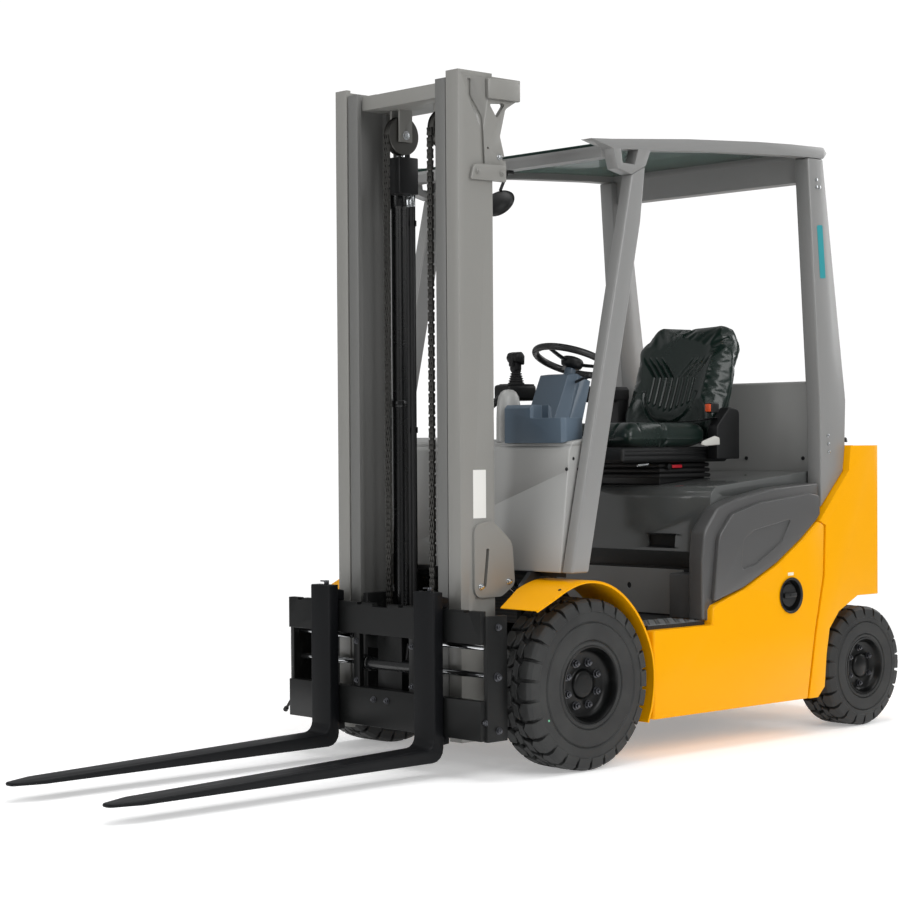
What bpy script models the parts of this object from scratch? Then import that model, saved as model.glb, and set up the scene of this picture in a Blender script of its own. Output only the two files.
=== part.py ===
"""Counterbalance forklift truck with a two-stage mast, a side-shifting fork
carriage, a driver's guard and a diesel engine under a seat hood.

Metres. +X points to the fork tips, +Y to the driver's left, +Z up. The origin
is on the ground, under the centre of the whole truck's box.
"""
import math

import bmesh
import bpy
from mathutils import Matrix, Vector

# ---- driving dimensions -------------------------------------------------
FORK_LENGTH = 1.200          # fork face to tip
LOAD_DISTANCE = 0.460        # drive axle to fork face
WHEELBASE = 1.515
REAR_OVERHANG = 0.315        # steer axle to the counterweight's rear
MAST_HEIGHT = 2.262          # top of the outer rails, mast lowered
GUARD_HEIGHT = 2.130
BODY_HALF = 0.545            # side frames and counterweight
GUARD_HALF = 0.520
FRONT_TYRE_RADIUS = 0.280
FRONT_TYRE_WIDTH = 0.178
FRONT_TYRE_OUTER = 0.562     # outer face from the centre line
REAR_TYRE_RADIUS = 0.223
REAR_TYRE_WIDTH = 0.165
REAR_TYRE_OUTER = 0.520
FLOOR_Z = 0.434              # underside of the driver's floor
SEAT = 0.0003                # gap that touching pieces keep
RUN = 0.006                  # gap beside a piece that moves
PIN_GAP = 0.0009             # gap round a pin, a rod or a roller

X_TIP = (FORK_LENGTH + LOAD_DISTANCE + WHEELBASE + REAR_OVERHANG) / 2
X_FORK = X_TIP - FORK_LENGTH
X_DRIVE = X_FORK - LOAD_DISTANCE
X_STEER = X_DRIVE - WHEELBASE
X_REAR = X_STEER - REAR_OVERHANG

# ---- collections, materials ---------------------------------------------
for old in list(bpy.data.objects):
    bpy.data.objects.remove(old, do_unlink=True)

parts = bpy.data.collections.new("forklift_truck")
bpy.context.scene.collection.children.link(parts)


def linear(channel):
    """sRGB channel, 0 to 1, as a linear value."""
    if channel <= 0.04045:
        return channel / 12.92
    return ((channel + 0.055) / 1.055) ** 2.4


def material(name, colour, roughness, metallic=0.0):
    """Principled material from an sRGB hex colour."""
    made = bpy.data.materials.new(name)
    made.use_nodes = True
    shader = made.node_tree.nodes["Principled BSDF"]
    value = [linear(((colour >> shift) & 255) / 255) for shift in (16, 8, 0)]
    shader.inputs["Base Color"].default_value = (*value, 1.0)
    shader.inputs["Roughness"].default_value = roughness
    shader.inputs["Metallic"].default_value = metallic
    return made


GREY_PAINT = material("grey_paint", 0x9B9A96, 0.45)
COWL_PLASTIC = material("cowl_plastic", 0x8F8E8E, 0.50)
HOOD_PLASTIC = material("hood_plastic", 0x6F706E, 0.35)
YELLOW_PAINT = material("yellow_paint", 0xFDB813, 0.35)
BLACK_PAINT = material("black_paint", 0x1B1B1D, 0.50)
FORK_PAINT = material("fork_paint", 0x2F3036, 0.45)
SLATE_PLASTIC = material("slate_plastic", 0x434F57, 0.60)
BLACK_PLASTIC = material("black_plastic", 0x202123, 0.55)
TYRE_RUBBER = material("tyre_rubber", 0x1A1A1A, 0.85)
SEAT_VINYL = material("seat_vinyl", 0x1F2422, 0.45)
CHROME = material("chrome_rod", 0xD0D2D4, 0.12, 1.0)
CAST_IRON = material("cast_iron", 0x3A3B3C, 0.60, 0.6)
CHAIN_STEEL = material("chain_steel", 0x3C3A38, 0.45, 0.8)


# ---- modelling tools -----------------------------------------------------
def baked(obj):
    """Replace an object by a plain welded mesh of its evaluated shape."""
    bpy.context.view_layer.update()
    graph = bpy.context.evaluated_depsgraph_get()
    mesh = bpy.data.meshes.new_from_object(obj.evaluated_get(graph))
    mesh.transform(obj.matrix_world)
    work = bmesh.new()
    work.from_mesh(mesh)
    bmesh.ops.remove_doubles(work, verts=work.verts, dist=0.00001)
    bmesh.ops.recalc_face_normals(work, faces=work.faces)
    work.to_mesh(mesh)
    work.free()
    bpy.data.objects.remove(obj, do_unlink=True)
    made = bpy.data.objects.new("piece", mesh)
    parts.objects.link(made)
    return made


def box(x0, x1, y0, y1, z0, z1, bevel=0.0, segments=2):
    """Box between two corners, with its edges rounded if bevel is set."""
    mesh = bpy.data.meshes.new("box")
    work = bmesh.new()
    bmesh.ops.create_cube(work, size=1.0)
    size = Vector((abs(x1 - x0), abs(y1 - y0), abs(z1 - z0)))
    middle = Vector(((x0 + x1) / 2, (y0 + y1) / 2, (z0 + z1) / 2))
    bmesh.ops.scale(work, vec=size, verts=work.verts)
    bmesh.ops.translate(work, vec=middle, verts=work.verts)
    work.to_mesh(mesh)
    work.free()
    made = bpy.data.objects.new("piece", mesh)
    parts.objects.link(made)
    if bevel:
        rounded_edges(made, bevel, segments)
        made = baked(made)
    return made


def rounded_edges(obj, width, segments=2, angle=40.0):
    """Bevel modifier on the edges sharper than an angle."""
    soft = obj.modifiers.new("soft_edges", "BEVEL")
    soft.width = width
    soft.segments = segments
    soft.limit_method = "ANGLE"
    soft.angle_limit = math.radians(angle)
    return obj


def rod(start, end, radius, sides=20):
    """Round bar between two points."""
    start, end = Vector(start), Vector(end)
    mesh = bpy.data.meshes.new("rod")
    work = bmesh.new()
    bmesh.ops.create_cone(work, cap_ends=True, segments=sides, radius1=radius,
                          radius2=radius, depth=(end - start).length)
    turn = (end - start).to_track_quat("Z", "Y").to_matrix().to_4x4()
    work.transform(Matrix.Translation((start + end) / 2) @ turn)
    work.to_mesh(mesh)
    work.free()
    made = bpy.data.objects.new("piece", mesh)
    parts.objects.link(made)
    return made


def rounded(corners, steps=4):
    """Outline whose corners (a, b, radius) become arcs."""
    points = []
    count = len(corners)
    for i, corner in enumerate(corners):
        here = Vector(corner[:2])
        radius = corner[2] if len(corner) > 2 else 0.0
        if not radius:
            points.append(tuple(here))
            continue
        before = (Vector(corners[i - 1][:2]) - here).normalized()
        after = (Vector(corners[(i + 1) % count][:2]) - here).normalized()
        half = before.angle(after) / 2
        reach = radius / math.tan(half)
        middle = here + (before + after).normalized() * (radius / math.sin(half))
        first = here + before * reach - middle
        sweep = first.angle_signed(here + after * reach - middle)
        for k in range(steps + 1):
            turned_by = -sweep * k / steps
            cos, sin = math.cos(turned_by), math.sin(turned_by)
            points.append((middle.x + cos * first.x - sin * first.y,
                           middle.y + sin * first.x + cos * first.y))
    return points


def arc(a, b, radius, start, end, steps):
    """Points on an arc about (a, b), angles in degrees."""
    turns = [math.radians(start + (end - start) * k / steps) for k in range(steps + 1)]
    return [(a + radius * math.cos(t), b + radius * math.sin(t)) for t in turns]


AXES = {
    "X": Matrix(((0, 0, 1, 0), (1, 0, 0, 0), (0, 1, 0, 0), (0, 0, 0, 1))),
    "Y": Matrix(((1, 0, 0, 0), (0, 0, -1, 0), (0, 1, 0, 0), (0, 0, 0, 1))),
    "Z": Matrix.Identity(4),
}


def extruded(axis, low, high, outline, *holes):
    """Flat outline, with holes, drawn out along an axis between two places.

    The outline lies in (x, z) for axis Y, (y, z) for X and (x, y) for Z.
    """
    curve = bpy.data.curves.new("outline", "CURVE")
    curve.dimensions = "2D"
    curve.fill_mode = "BOTH"
    curve.extrude = abs(high - low) / 2
    for points in (outline, *holes):
        spline = curve.splines.new("POLY")
        spline.points.add(len(points) - 1)
        for point, (a, b) in zip(spline.points, points):
            point.co = (a, b, 0.0, 1.0)
        spline.use_cyclic_u = True
    made = bpy.data.objects.new("outline", curve)
    parts.objects.link(made)
    place = {"X": (1, 0, 0), "Y": (0, 1, 0), "Z": (0, 0, 1)}[axis]
    made.matrix_world = Matrix.Translation(Vector(place) * (low + high) / 2) @ AXES[axis]
    return baked(made)


def strip(points, thickness):
    """Outline of a bent sheet whose middle line runs through the points."""
    line = [Vector(p) for p in points]
    normals = []
    for i, here in enumerate(line):
        ahead = (line[min(i + 1, len(line) - 1)] - here)
        behind = (here - line[max(i - 1, 0)])
        sides = [Vector((-d.y, d.x)).normalized() for d in (behind, ahead) if d.length > 0]
        mean = sum(sides, Vector((0, 0))).normalized()
        normals.append(mean / max(0.5, mean.dot(sides[0])))
    half = thickness / 2
    left = [tuple(p + n * half) for p, n in zip(line, normals)]
    right = [tuple(p - n * half) for p, n in zip(line, normals)]
    return left + right[::-1]


def turned(profile, centre, direction, steps=28):
    """Solid of revolution: a profile (radius, place along the axis) that starts
    and ends on the axis, or closes on itself around a bore."""
    mesh = bpy.data.meshes.new("profile")
    closed = profile[0][0] > 0
    edges = [(i, i + 1) for i in range(len(profile) - 1)]
    if closed:
        edges.append((len(profile) - 1, 0))
    mesh.from_pydata([(r, 0.0, a) for r, a in profile], edges, [])
    made = bpy.data.objects.new("profile", mesh)
    parts.objects.link(made)
    spin = made.modifiers.new("spin", "SCREW")
    spin.steps = steps
    spin.render_steps = steps
    spin.use_merge_vertices = True
    spin.merge_threshold = 0.0001
    turn = Vector(direction).to_track_quat("Z", "Y").to_matrix().to_4x4()
    made.matrix_world = Matrix.Translation(centre) @ turn
    return baked(made)


def combine(target, others, operation):
    """Boolean of a piece with others, which are used up."""
    for other in others:
        step = target.modifiers.new("join", "BOOLEAN")
        step.operation = operation
        step.solver = "EXACT"
        step.object = other
    made = baked(target)
    for other in others:
        bpy.data.objects.remove(other, do_unlink=True)
    return made


def fuse(target, *others):
    return combine(target, others, "UNION")


def cut(target, *others):
    return combine(target, others, "DIFFERENCE")


def common(target, *others):
    return combine(target, others, "INTERSECT")


def node(name, obj, look, smooth=30.0):
    """Name a finished piece, give it its material and smooth shading."""
    obj.name = name
    obj.data.name = name
    obj.data.materials.clear()
    obj.data.materials.append(look)
    obj.data.shade_smooth()
    obj.data.set_sharp_from_angle(angle=math.radians(smooth))
    return obj


def pivot(name, place, pieces):
    """Empty on a joint's axis that carries the pieces of a moving body."""
    empty = bpy.data.objects.new(name, None)
    empty.location = place
    parts.objects.link(empty)
    bpy.context.view_layer.update()
    for piece in pieces:
        piece.parent = empty
        piece.matrix_parent_inverse = empty.matrix_world.inverted()
    return empty


SIDES = (("left", 1), ("right", -1))


def between(side, inner, outer):
    """The two Y places of a plate that lies between two distances out."""
    return sorted((side * inner, side * outer))


# ---- drive axle, chassis frame ----------------------------------------------
AXLE_RADIUS = 0.075
AXLE_SIDES = 32
HUB_FACE = FRONT_TYRE_OUTER - FRONT_TYRE_WIDTH / 2 - 0.045   # where the wheel bolts on
DRIVE = (X_DRIVE, 0.0, FRONT_TYRE_RADIUS)
DIFF_RADIUS = 0.105


def round_on_drive(radius, half, sides=AXLE_SIDES):
    """Round bar across the truck on the drive axle's line."""
    z = FRONT_TYRE_RADIUS
    return rod((X_DRIVE, -half, z), (X_DRIVE, half, z), radius, sides)


axle = fuse(round_on_drive(AXLE_RADIUS, 0.372),
            round_on_drive(0.050, HUB_FACE - SEAT),
            round_on_drive(DIFF_RADIUS, 0.115))
drive_axle = node("drive_axle", axle, CAST_IRON)

FRAME_INNER = 0.325          # chassis side plates
FRAME_OUTER = 0.345
FRAME_BOTTOM = 0.160
FRAME_TOP = FLOOR_Z - SEAT
FENDER_TOP = 0.640
BELLY = 0.012
TILT_PIN = (X_DRIVE - 0.285, 0.330)      # rear pin of the tilt cylinders (x, z)
TILT_Y = 0.284                           # tilt cylinders' distance out
TILT_BARREL_RADIUS = 0.029
TILT_PIN_RADIUS = 0.0145
X_FRAME_REAR = X_DRIVE - 1.225

plate_outline = rounded([
    (X_FRAME_REAR, FRAME_BOTTOM), (X_DRIVE - 0.325, FRAME_BOTTOM), (X_DRIVE + 0.02, 0.185),
    (X_DRIVE + 0.105, 0.230, 0.03), (X_DRIVE + 0.105, 0.590, 0.02),
    (X_DRIVE + 0.055, FENDER_TOP - SEAT), (X_DRIVE - 0.020, FENDER_TOP - 0.012),
    (X_DRIVE - 0.202, FRAME_TOP), (X_FRAME_REAR, FRAME_TOP)])
pieces = []
for _, side in SIDES:
    low, high = between(side, FRAME_INNER, FRAME_OUTER)
    pieces.append(extruded("Y", low, high, plate_outline))
    pin_y = between(side, TILT_Y - TILT_BARREL_RADIUS - 0.008, FRAME_INNER + 0.010)
    pieces.append(rod((TILT_PIN[0], pin_y[0], TILT_PIN[1]), (TILT_PIN[0], pin_y[1], TILT_PIN[1]),
                      TILT_PIN_RADIUS, 16))
wide = FRAME_INNER + 0.005
MOUNT_TOP = 0.270            # top of the cross members, under the engine
X_CW_FACE = X_DRIVE - 1.385  # middle of the counterweight's front face, under the hood's hinge
CROSS = (
    (X_DRIVE - 0.405, X_DRIVE - 0.345, wide, FRAME_BOTTOM, 0.300),
    (X_DRIVE - 0.760, X_DRIVE - 0.700, wide, FRAME_BOTTOM, MOUNT_TOP),
    (X_FRAME_REAR, X_FRAME_REAR + 0.080, wide, FRAME_BOTTOM, MOUNT_TOP),
    (X_CW_FACE + SEAT, X_FRAME_REAR + 0.010, 0.190, 0.180, MOUNT_TOP),
    (X_FRAME_REAR, X_DRIVE - 0.345, wide, FRAME_BOTTOM, FRAME_BOTTOM + BELLY),
)
for x0, x1, half, z0, z1 in CROSS:
    pieces.append(box(x0, x1, -half, half, z0, z1))
frame = fuse(*pieces)
frame = cut(frame, round_on_drive(AXLE_RADIUS + SEAT, 0.40))
chassis_frame = node("chassis_frame", frame, BLACK_PAINT)

# ---- yellow side frames ------------------------------------------------------
FENDER_REAR = X_DRIVE - 0.315
SEAM = [(X_DRIVE - 1.141, 0.135), (X_DRIVE - 1.185, 0.371), (X_DRIVE - 1.234, 0.578),
        (X_DRIVE - 1.241, 0.758)]
SWEEP = [(X_DRIVE - 1.205, 0.774), (X_DRIVE - 1.115, 0.710), (X_DRIVE - 0.974, 0.627),
         (X_DRIVE - 0.792, 0.548), (X_DRIVE - 0.630, 0.500)]
STEP_REAR = X_DRIVE - 0.618
frame_outline = ([(FENDER_REAR - SEAT, 0.135)] + SEAM + SWEEP
                 + [(STEP_REAR, 0.485), (STEP_REAR, FRAME_TOP), (FENDER_REAR - SEAT, FRAME_TOP)])
for name, side in SIDES:
    low, high = between(side, FRAME_OUTER + SEAT, BODY_HALF)
    body = extruded("Y", low, high, frame_outline)
    rounded_edges(body, 0.008, 2, 50)
    node(f"side_frame_{name}", baked(body), YELLOW_PAINT)

# ---- side covers above the side frames --------------------------------------
HOOD_HALF = 0.449
COVER_INNER = HOOD_HALF + RUN
COVER_GAP = 0.005
COVER_REAR = X_DRIVE - 1.236
above_sweep = [(x + 0.002, z + COVER_GAP) for x, z in SWEEP]
panel_outline = ([(STEP_REAR - 0.006, 0.506), (STEP_REAR - 0.024, 0.677),
                  (STEP_REAR - 0.064, 0.761), (STEP_REAR - 0.120, 0.802),
                  (STEP_REAR - 0.231, 0.835), (STEP_REAR - 0.462, 0.874),
                  (STEP_REAR - 0.581, 0.875), (STEP_REAR - 0.596, 0.856)]
                 + above_sweep)
band_outline = ([(STEP_REAR - 0.012, 0.530), (STEP_REAR - 0.070, 0.759),
                 (STEP_REAR - 0.142, 0.818), (STEP_REAR - 0.276, 0.868),
                 (STEP_REAR - 0.510, 0.905), (COVER_REAR, 0.912), (COVER_REAR, 0.806)]
                + [(x + SEAT, z + SEAT) for x, z in SWEEP])
for name, side in SIDES:
    low, high = between(side, 0.498, BODY_HALF - 0.006)
    panel = extruded("Y", low, high, panel_outline)
    rounded_edges(panel, 0.006, 2, 50)
    panel = baked(panel)
    low, high = between(side, COVER_INNER, 0.500)
    cover = fuse(extruded("Y", low, high, band_outline), panel)
    node(f"side_cover_{name}", cover, HOOD_PLASTIC)

# ---- fenders over the drive wheels -------------------------------------------
FENDER_OUTER = 0.556
FENDER_SHEET = 0.012
FENDER_FRONT = X_DRIVE + 0.244
ARCH_RADIUS = 0.306
crown = [(FENDER_REAR + 0.012, 0.127), (FENDER_REAR, 0.160), (FENDER_REAR, 0.350),
         (FENDER_REAR + 0.052, 0.457), (FENDER_REAR + 0.150, 0.562),
         (FENDER_REAR + 0.260, FENDER_TOP), (FENDER_FRONT - 0.020, FENDER_TOP),
         (FENDER_FRONT, 0.625), (FENDER_FRONT + 0.004, 0.535)]
rise = math.degrees(math.asin((0.535 - FRONT_TYRE_RADIUS) / ARCH_RADIUS))
arch = arc(X_DRIVE, FRONT_TYRE_RADIUS, ARCH_RADIUS, rise, 208, 14)
for name, side in SIDES:
    low, high = between(side, FENDER_OUTER - 0.015, FENDER_OUTER)
    lip = extruded("Y", low, high, crown + arch)
    half = FENDER_SHEET / 2
    sheet_line = [(FENDER_REAR + 0.014 + half, 0.130), (FENDER_REAR + half, 0.162),
                  (FENDER_REAR + half, 0.348), (FENDER_REAR + 0.057, 0.453),
                  (FENDER_REAR + 0.154, 0.557), (FENDER_REAR + 0.262, FENDER_TOP - half),
                  (FENDER_FRONT - 0.022, FENDER_TOP - half), (FENDER_FRONT - half, 0.620),
                  (FENDER_FRONT + 0.004 - half, 0.535)]
    low, high = between(side, FRAME_OUTER + SEAT, FENDER_OUTER - 0.005)
    sheet = extruded("Y", low, high, strip(sheet_line, FENDER_SHEET))
    node(f"fender_{name}", fuse(lip, sheet), YELLOW_PAINT)

# ---- wheels -------------------------------------------------------------------
FRONT_RIM = 0.118
REAR_RIM = 0.0995
FRONT_MIDDLE = FRONT_TYRE_OUTER - FRONT_TYRE_WIDTH / 2
REAR_MIDDLE = REAR_TYRE_OUTER - REAR_TYRE_WIDTH / 2
REAR_DISC = 0.0325           # inner face of the rear wheel disc from the wheel's middle


def tyre(radius, half, rim):
    """Tyre section from the inner rim lip round the tread to the outer lip."""
    return [(rim, -half + 0.006), (rim + 0.045, -half), (radius - 0.020, -half + 0.008),
            (radius, -half + 0.030), (radius, half - 0.030), (radius - 0.020, half - 0.008),
            (radius - (radius - rim) * 0.55, half), (rim, half - 0.006)]


for name, side in SIDES:
    half = FRONT_TYRE_WIDTH / 2
    profile = ([(0.0, -0.045), (0.070, -0.045), (0.108, -0.060), (0.110, -half + 0.012)]
               + tyre(FRONT_TYRE_RADIUS, half, FRONT_RIM)
               + [(FRONT_RIM - 0.006, 0.045), (0.098, 0.030), (0.066, 0.026),
                  (0.052, 0.060), (0.046, 0.068), (0.0, 0.068)])
    wheel = turned(profile, (X_DRIVE, side * FRONT_MIDDLE, FRONT_TYRE_RADIUS), (0, side, 0), 32)
    wheel = node(f"front_wheel_{name}", wheel, TYRE_RUBBER)
    pivot(f"front_axis_{name}", (X_DRIVE, side * FRONT_MIDDLE, FRONT_TYRE_RADIUS), [wheel])

# ---- steer axle, knuckles, rear wheels -----------------------------------------
KING_Y = 0.400               # king pins, inside the rear rims
KING_RADIUS = 0.010
KING_HOLE = KING_RADIUS + PIN_GAP
BEAM_HALF_X = 0.024
BEAM_HALF_Z = 0.038
EYE_HALF = 0.030
FORK_GAP = 0.0365            # half the opening of the knuckle's fork
KNUCKLE_HALF = 0.050
AXLE_TUNNEL_TOP = 0.310
beam = fuse(box(X_STEER - BEAM_HALF_X, X_STEER + BEAM_HALF_X, -0.380, 0.380,
                REAR_TYRE_RADIUS - EYE_HALF, REAR_TYRE_RADIUS + EYE_HALF),
            box(X_STEER - 0.045, X_STEER + 0.045, -0.180, 0.180,
                REAR_TYRE_RADIUS - 0.055, REAR_TYRE_RADIUS + 0.055),
            box(X_STEER - 0.040, X_STEER + 0.040, -0.080, 0.080,
                REAR_TYRE_RADIUS, AXLE_TUNNEL_TOP - SEAT),
            *[rod((X_STEER, y, REAR_TYRE_RADIUS - EYE_HALF), (X_STEER, y, REAR_TYRE_RADIUS + EYE_HALF),
                  0.022, 20) for y in (-KING_Y, KING_Y)])
beam = cut(beam, *[rod((X_STEER, y, 0.1), (X_STEER, y, 0.4), KING_HOLE, 16)
                   for y in (-KING_Y, KING_Y)])
node("steer_axle", beam, CAST_IRON)

for name, side in SIDES:
    z = REAR_TYRE_RADIUS
    outer = REAR_MIDDLE + REAR_DISC - SEAT
    low, high = between(side, KING_Y - 0.018, 0.450)
    knuckle = box(X_STEER - 0.020, X_STEER + 0.020, low, high, z - KNUCKLE_HALF, z + KNUCKLE_HALF)
    low, high = between(side, KING_Y - 0.060, KING_Y + 0.030)
    knuckle = cut(knuckle, box(X_STEER - 0.040, X_STEER + 0.040, low, high,
                               z - FORK_GAP, z + FORK_GAP))
    knuckle = fuse(knuckle, rod((X_STEER, side * KING_Y, z - 0.045), (X_STEER, side * KING_Y, z + 0.045),
                                KING_RADIUS, 16),
                   rod((X_STEER, side * 0.440, z), (X_STEER, side * outer, z), 0.024, 20))
    knuckle = node(f"knuckle_{name}", knuckle, CAST_IRON)
    pivot(f"king_axis_{name}", (X_STEER, side * KING_Y, z), [knuckle])
    half = REAR_TYRE_WIDTH / 2
    profile = ([(0.0, REAR_DISC), (0.082, REAR_DISC), (0.092, 0.020), (0.093, -half + 0.004)]
               + tyre(REAR_TYRE_RADIUS, half, REAR_RIM)
               + [(0.092, 0.055), (0.082, 0.048), (0.050, 0.046), (0.040, 0.066), (0.0, 0.066)])
    wheel = turned(profile, (X_STEER, side * REAR_MIDDLE, z), (0, side, 0), 32)
    wheel = node(f"rear_wheel_{name}", wheel, TYRE_RUBBER)
    pivot(f"rear_axis_{name}", (X_STEER, side * REAR_MIDDLE, z), [wheel])

# ---- counterweight ---------------------------------------------------------------
CW_TOP = 1.046
ARCH_FRONT = X_STEER + 0.266
SHOULDER = [(X_DRIVE - 1.396, CW_TOP), (X_DRIVE - 1.383, 0.951), (X_DRIVE - 1.308, 0.876)]
HINGE = (X_DRIVE - 1.370, 1.070)         # hood hinge (x, z)
HINGE_Y = 0.260
HINGE_PIN = 0.008
side_outline = (SHOULDER + [(SWEEP[0][0] - 0.006, 0.774)]
                + [(x - 0.006, z) for x, z in SEAM[::-1]]
                + [(X_STEER + 0.200, 0.135), (X_STEER, 0.165), (X_REAR + 0.060, 0.190),
                   (X_REAR + 0.012, 0.300), (X_REAR, 0.480), (X_REAR + 0.026, 0.780),
                   (X_REAR + 0.048, 0.980), (X_REAR + 0.075, CW_TOP - 0.012), (X_REAR + 0.120, CW_TOP)])
plan_outline = [(X_DRIVE - 1.0, -BODY_HALF), (X_DRIVE - 1.0, BODY_HALF), (X_STEER - 0.020, BODY_HALF)]
plan_outline += arc(X_STEER - 0.075, BODY_HALF - 0.210, 0.210, 82, 35, 5)
plan_outline += [(X_REAR + 0.020, 0.270), (X_REAR, 0.100)]
mirrored = [(x, -y) for x, y in plan_outline[2:]][::-1]
plan_outline = plan_outline + mirrored
plan_outline = [(min(x, X_DRIVE - 1.0), y) for x, y in plan_outline]
block = common(extruded("Y", -0.60, 0.60, side_outline), extruded("Z", 0.0, 1.3, plan_outline))
ARCH_INNER = 0.205
arch_outline = [(ARCH_FRONT + 0.050, 0.0), (ARCH_FRONT + 0.050, 0.136), (ARCH_FRONT + 0.012, 0.171),
                (ARCH_FRONT, 0.290), (ARCH_FRONT - 0.018, 0.380), (ARCH_FRONT - 0.074, 0.440),
                (ARCH_FRONT - 0.186, 0.492), (X_REAR + 0.140, 0.492), (X_REAR - 0.10, 0.452),
                (X_REAR - 0.10, 0.0)]
cutters = []
for _, side in SIDES:
    low, high = between(side, ARCH_INNER, 0.80)
    cutters.append(extruded("Y", low, high, arch_outline))
cutters.append(box(X_CW_FACE, X_DRIVE - 0.9, -0.405, 0.405, 0.0, 1.3))
cutters.append(box(X_CW_FACE, X_DRIVE - 0.9, -HOOD_HALF - RUN, HOOD_HALF + RUN, 0.640, 1.3))
cutters.append(box(X_STEER - 0.085, X_STEER + 0.085, -0.5, 0.5, 0.0, AXLE_TUNNEL_TOP))
cutters.append(box(X_REAR - 0.1, X_REAR + 0.075, -0.055, 0.055, 0.330, 0.430))
cutters.append(box(X_REAR - 0.1, X_REAR + 0.060, -0.190, 0.190, 0.560, 0.860, 0.02, 1))
block = cut(block, *cutters)
lugs = []
for _, side in SIDES:
    low, high = between(side, HINGE_Y - 0.010, HINGE_Y + 0.010)
    lugs.append(extruded("Y", low, high, rounded([
        (HINGE[0] - 0.090, CW_TOP - 0.01), (HINGE[0] - 0.032, CW_TOP - 0.01),
        (HINGE[0] + 0.020, HINGE[1] - 0.020, 0.018), (HINGE[0] + 0.020, HINGE[1] + 0.022, 0.018),
        (HINGE[0] - 0.040, HINGE[1] + 0.022, 0.018)], 3)))
    low, high = between(side, HINGE_Y - 0.038, HINGE_Y)
    lugs.append(rod((HINGE[0], low, HINGE[1]), (HINGE[0], high, HINGE[1]), HINGE_PIN, 14))
lugs.append(rod((X_REAR + 0.035, 0, 0.300), (X_REAR + 0.035, 0, 0.455), 0.014, 14))
block = fuse(block, *lugs)
node("counterweight", block, YELLOW_PAINT)

# ---- engine, floor ----------------------------------------------------------------
node("engine_block", box(X_DRIVE - 1.180, X_DRIVE - 0.745, -0.220, 0.220, MOUNT_TOP + SEAT, 0.800,
                         0.03, 1), CAST_IRON)

HOOD_FRONT = X_DRIVE - 0.697             # front face of the hood at its foot
HOOD_BOTTOM = 0.620
FLOOR_SHEET = 0.012
FLOOR_HALF = FRAME_OUTER - SEAT          # between the fenders
KICK_X = HOOD_FRONT - 0.006
COLUMN_PIVOT = (X_DRIVE - 0.185, 0.550)
COLUMN_LUG_Y = 0.070
floor_line = [(KICK_X, HOOD_BOTTOM - SEAT), (KICK_X, FLOOR_Z + FLOOR_SHEET / 2),
              (X_DRIVE - 0.215, FLOOR_Z + FLOOR_SHEET / 2), (X_DRIVE - 0.046, 0.622)]
floor = extruded("Y", -FLOOR_HALF, FLOOR_HALF, strip(floor_line, FLOOR_SHEET))
steps = [box(KICK_X - 0.0055, KICK_X + 0.0055, -HOOD_HALF + 0.004, HOOD_HALF - 0.004, 0.535, HOOD_BOTTOM - 0.001)]
for _, side in SIDES:
    low, high = between(side, FLOOR_HALF - 0.02, BODY_HALF - 0.030)
    steps.append(box(STEP_REAR + 0.010, FENDER_REAR - 0.004, low, high, FLOOR_Z, FLOOR_Z + FLOOR_SHEET))
    low, high = between(side, COLUMN_LUG_Y, COLUMN_LUG_Y + 0.012)
    steps.append(extruded("Y", low, high, rounded([
        (COLUMN_PIVOT[0] - 0.075, FLOOR_Z + 0.004), (COLUMN_PIVOT[0] + 0.030, 0.545),
        (COLUMN_PIVOT[0] + 0.026, COLUMN_PIVOT[1] + 0.022, 0.018),
        (COLUMN_PIVOT[0] - 0.026, COLUMN_PIVOT[1] + 0.022, 0.018)], 3)))
node("floor_plate", fuse(floor, *steps), BLACK_PLASTIC)

# ---- cowl in front of the driver ----------------------------------------------------
COWL_HALF = GUARD_HALF - 0.055
COWL_WALL = 0.012
COWL_TOP = 1.085
cowl_front = [(X_DRIVE + 0.045, FENDER_TOP + SEAT), (X_DRIVE + 0.000, 1.040), (X_DRIVE - 0.020, 1.068),
              (X_DRIVE - 0.145, COWL_TOP), (X_DRIVE - 0.150, 1.040)]
cowl_side = cowl_front + [(X_DRIVE - 0.040, FENDER_TOP + SEAT)]
cowl_inside = [(X_DRIVE + 0.033, 0.5), (X_DRIVE - COWL_WALL, 1.036), (X_DRIVE - 0.027, 1.056),
               (X_DRIVE - 0.137, 1.071), (X_DRIVE - 0.138, 1.045), (X_DRIVE - 0.300, 1.045),
               (X_DRIVE - 0.300, 0.5)]
cowl = extruded("Y", -COWL_HALF, COWL_HALF, cowl_side)
cowl = cut(cowl, extruded("Y", -COWL_HALF + COWL_WALL, COWL_HALF - COWL_WALL, cowl_inside),
           box(X_DRIVE - 0.30, X_DRIVE - 0.085, -0.105, 0.105, 1.00, 1.20))
node("cowl", cowl, COWL_PLASTIC)

tray_z = COWL_TOP + 0.001
tray = box(X_DRIVE - 0.100, X_DRIVE + 0.000, 0.150, 0.440, tray_z - 0.040, tray_z + 0.105, 0.012, 1)
tray = cut(tray, box(X_DRIVE - 0.085, X_DRIVE - 0.015, 0.255, 0.425, tray_z + 0.030, tray_z + 0.2),
           box(X_DRIVE - 0.2, X_DRIVE + 0.1, 0.285, 0.50, tray_z + 0.060, tray_z + 0.2))
tray = cut(tray, extruded("Y", 0.10, 0.50, [(X_DRIVE - 0.2, tray_z - 0.05), (X_DRIVE + 0.1, tray_z - 0.05),
                                           (X_DRIVE - 0.020, 1.068 + SEAT),
                                           (X_DRIVE - 0.145, COWL_TOP + SEAT),
                                           (X_DRIVE - 0.2, COWL_TOP + SEAT + 0.0075)]))
node("dash_tray", tray, SLATE_PLASTIC)

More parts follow.
